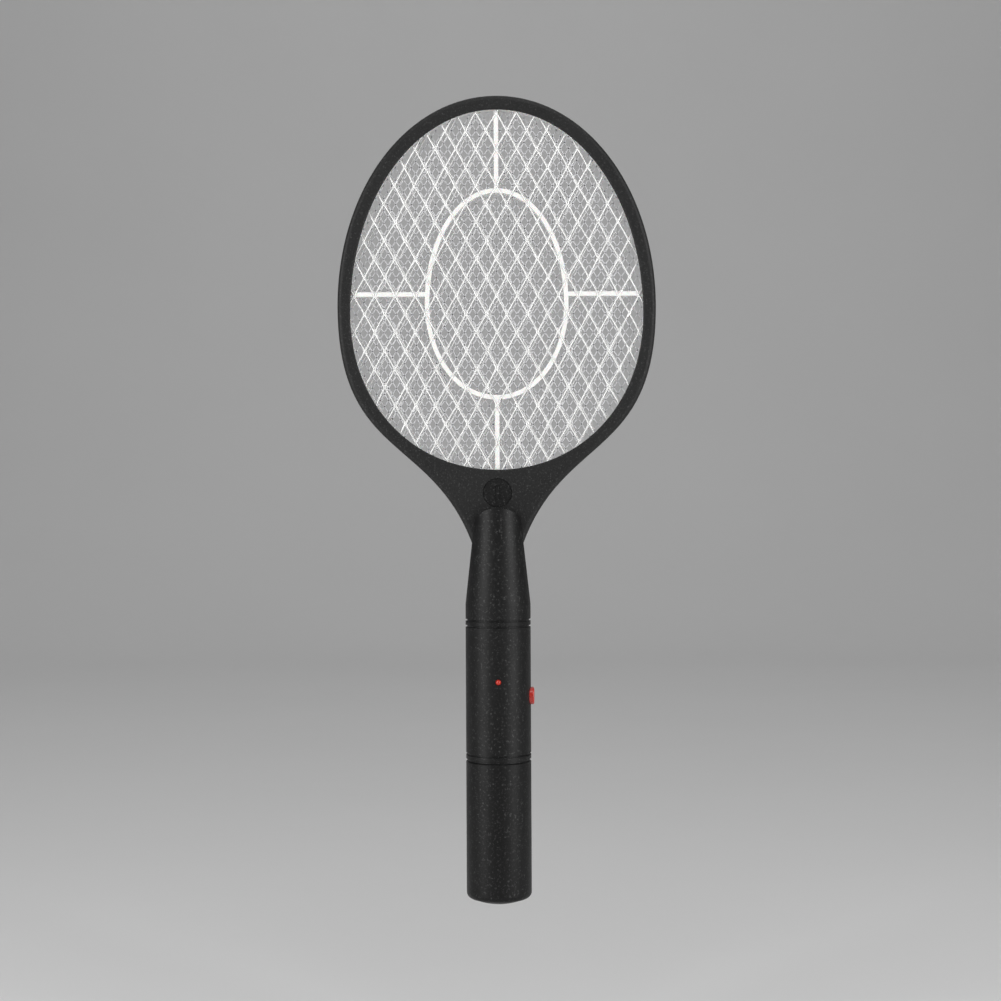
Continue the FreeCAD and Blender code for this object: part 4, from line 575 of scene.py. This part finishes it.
def sweep_profile(count=24):
    """Side view of the paper: a floor line, a quarter circle and a wall line."""
    turn = np.linspace(0, np.pi / 2, count)
    bend = np.stack([FLOOR_BACK + SWEEP_ROUND * np.sin(turn), SWEEP_ROUND * (1 - np.cos(turn))], -1)
    ends = ((FLOOR_FRONT, 0.0), (FLOOR_BACK + SWEEP_ROUND, SWEEP_TOP))
    return np.vstack([ends[:1], bend, ends[1:]])


profile = sweep_profile()
edge = np.array([-SWEEP_HALF, SWEEP_HALF])
points = np.stack([np.repeat(edge, len(profile)), np.tile(profile[:, 0], 2), np.tile(profile[:, 1], 2)], -1)
number = np.arange(len(profile) - 1)
faces = np.stack([number, number + len(profile), number + len(profile) + 1, number + 1], -1)
paper_data = bpy.data.meshes.new("paper_sweep")
paper_data.from_pydata(points.tolist(), [], faces.tolist())
paper_data.polygons.foreach_set("use_smooth", np.ones(len(faces), dtype=bool))
paper = bpy.data.objects.new("paper_sweep", paper_data)
bpy.context.scene.collection.objects.link(paper)
paper.location.z = FLOOR_LEVEL
paper.data.materials.append(satin_plastic("matt_paper_sweep", "#dedede", "#e2e2e2", 0.9, 400, 0.01))
print("paper sweep of", len(faces), "strips")

# %% [markdown]
# ## Lights
# Black plastic is lit by what it reflects, so the lights are large and soft.  Two tall soft boxes at
# the front left and right draw two soft bands down the round handle, a wide one overhead lights the
# ribs and meshes, and one behind the swatter lights the paper only.  A dim surround keeps the far
# edges of the black plastic dark.

# %% Lights and surround
SIDE_ANGLE = 54
SIDE_BOX = (0.5, 1.1)
SURROUND = 0.16


def softbox(name, azimuth, height, distance, size, power, aim=(0, 0, VIEW_HEIGHT)):
    """Area light turned to face a point: azimuth in degrees round the swatter from the front,
    height, distance and size in metres, power in watts."""
    data = bpy.data.lights.new(name, "AREA")
    data.shape = "RECTANGLE"
    data.size, data.size_y = size
    data.energy = power
    light = bpy.data.objects.new(name, data)
    angle = math.radians(azimuth)
    place = np.array([math.sin(angle) * distance, -math.cos(angle) * distance, height])
    light.location = place
    way = np.array(aim) - place
    light.rotation_euler = (math.atan2(math.hypot(way[0], way[1]), -way[2]), 0, math.atan2(-way[0], way[1]))
    bpy.context.scene.collection.objects.link(light)


softbox("left_softbox", -SIDE_ANGLE, height=0.47, distance=1.3, size=SIDE_BOX, power=10)
softbox("right_softbox", SIDE_ANGLE, height=0.47, distance=1.3, size=SIDE_BOX, power=10)
softbox("top_softbox", 0, height=1.7, distance=1.1, size=(1.6, 0.9), power=9)
softbox("paper_light", 180, height=3.4, distance=1.0, size=(4.0, 1.5), power=34, aim=(0, 3.2, 0.6))

world = bpy.data.worlds.new("studio")
world.use_nodes = True
bpy.context.scene.world = world
background = world.node_tree.nodes["Background"]
background.inputs["Color"].default_value = linear("#ffffff")
background.inputs["Strength"].default_value = SURROUND
bpy.context.scene.view_settings.view_transform = "Standard"
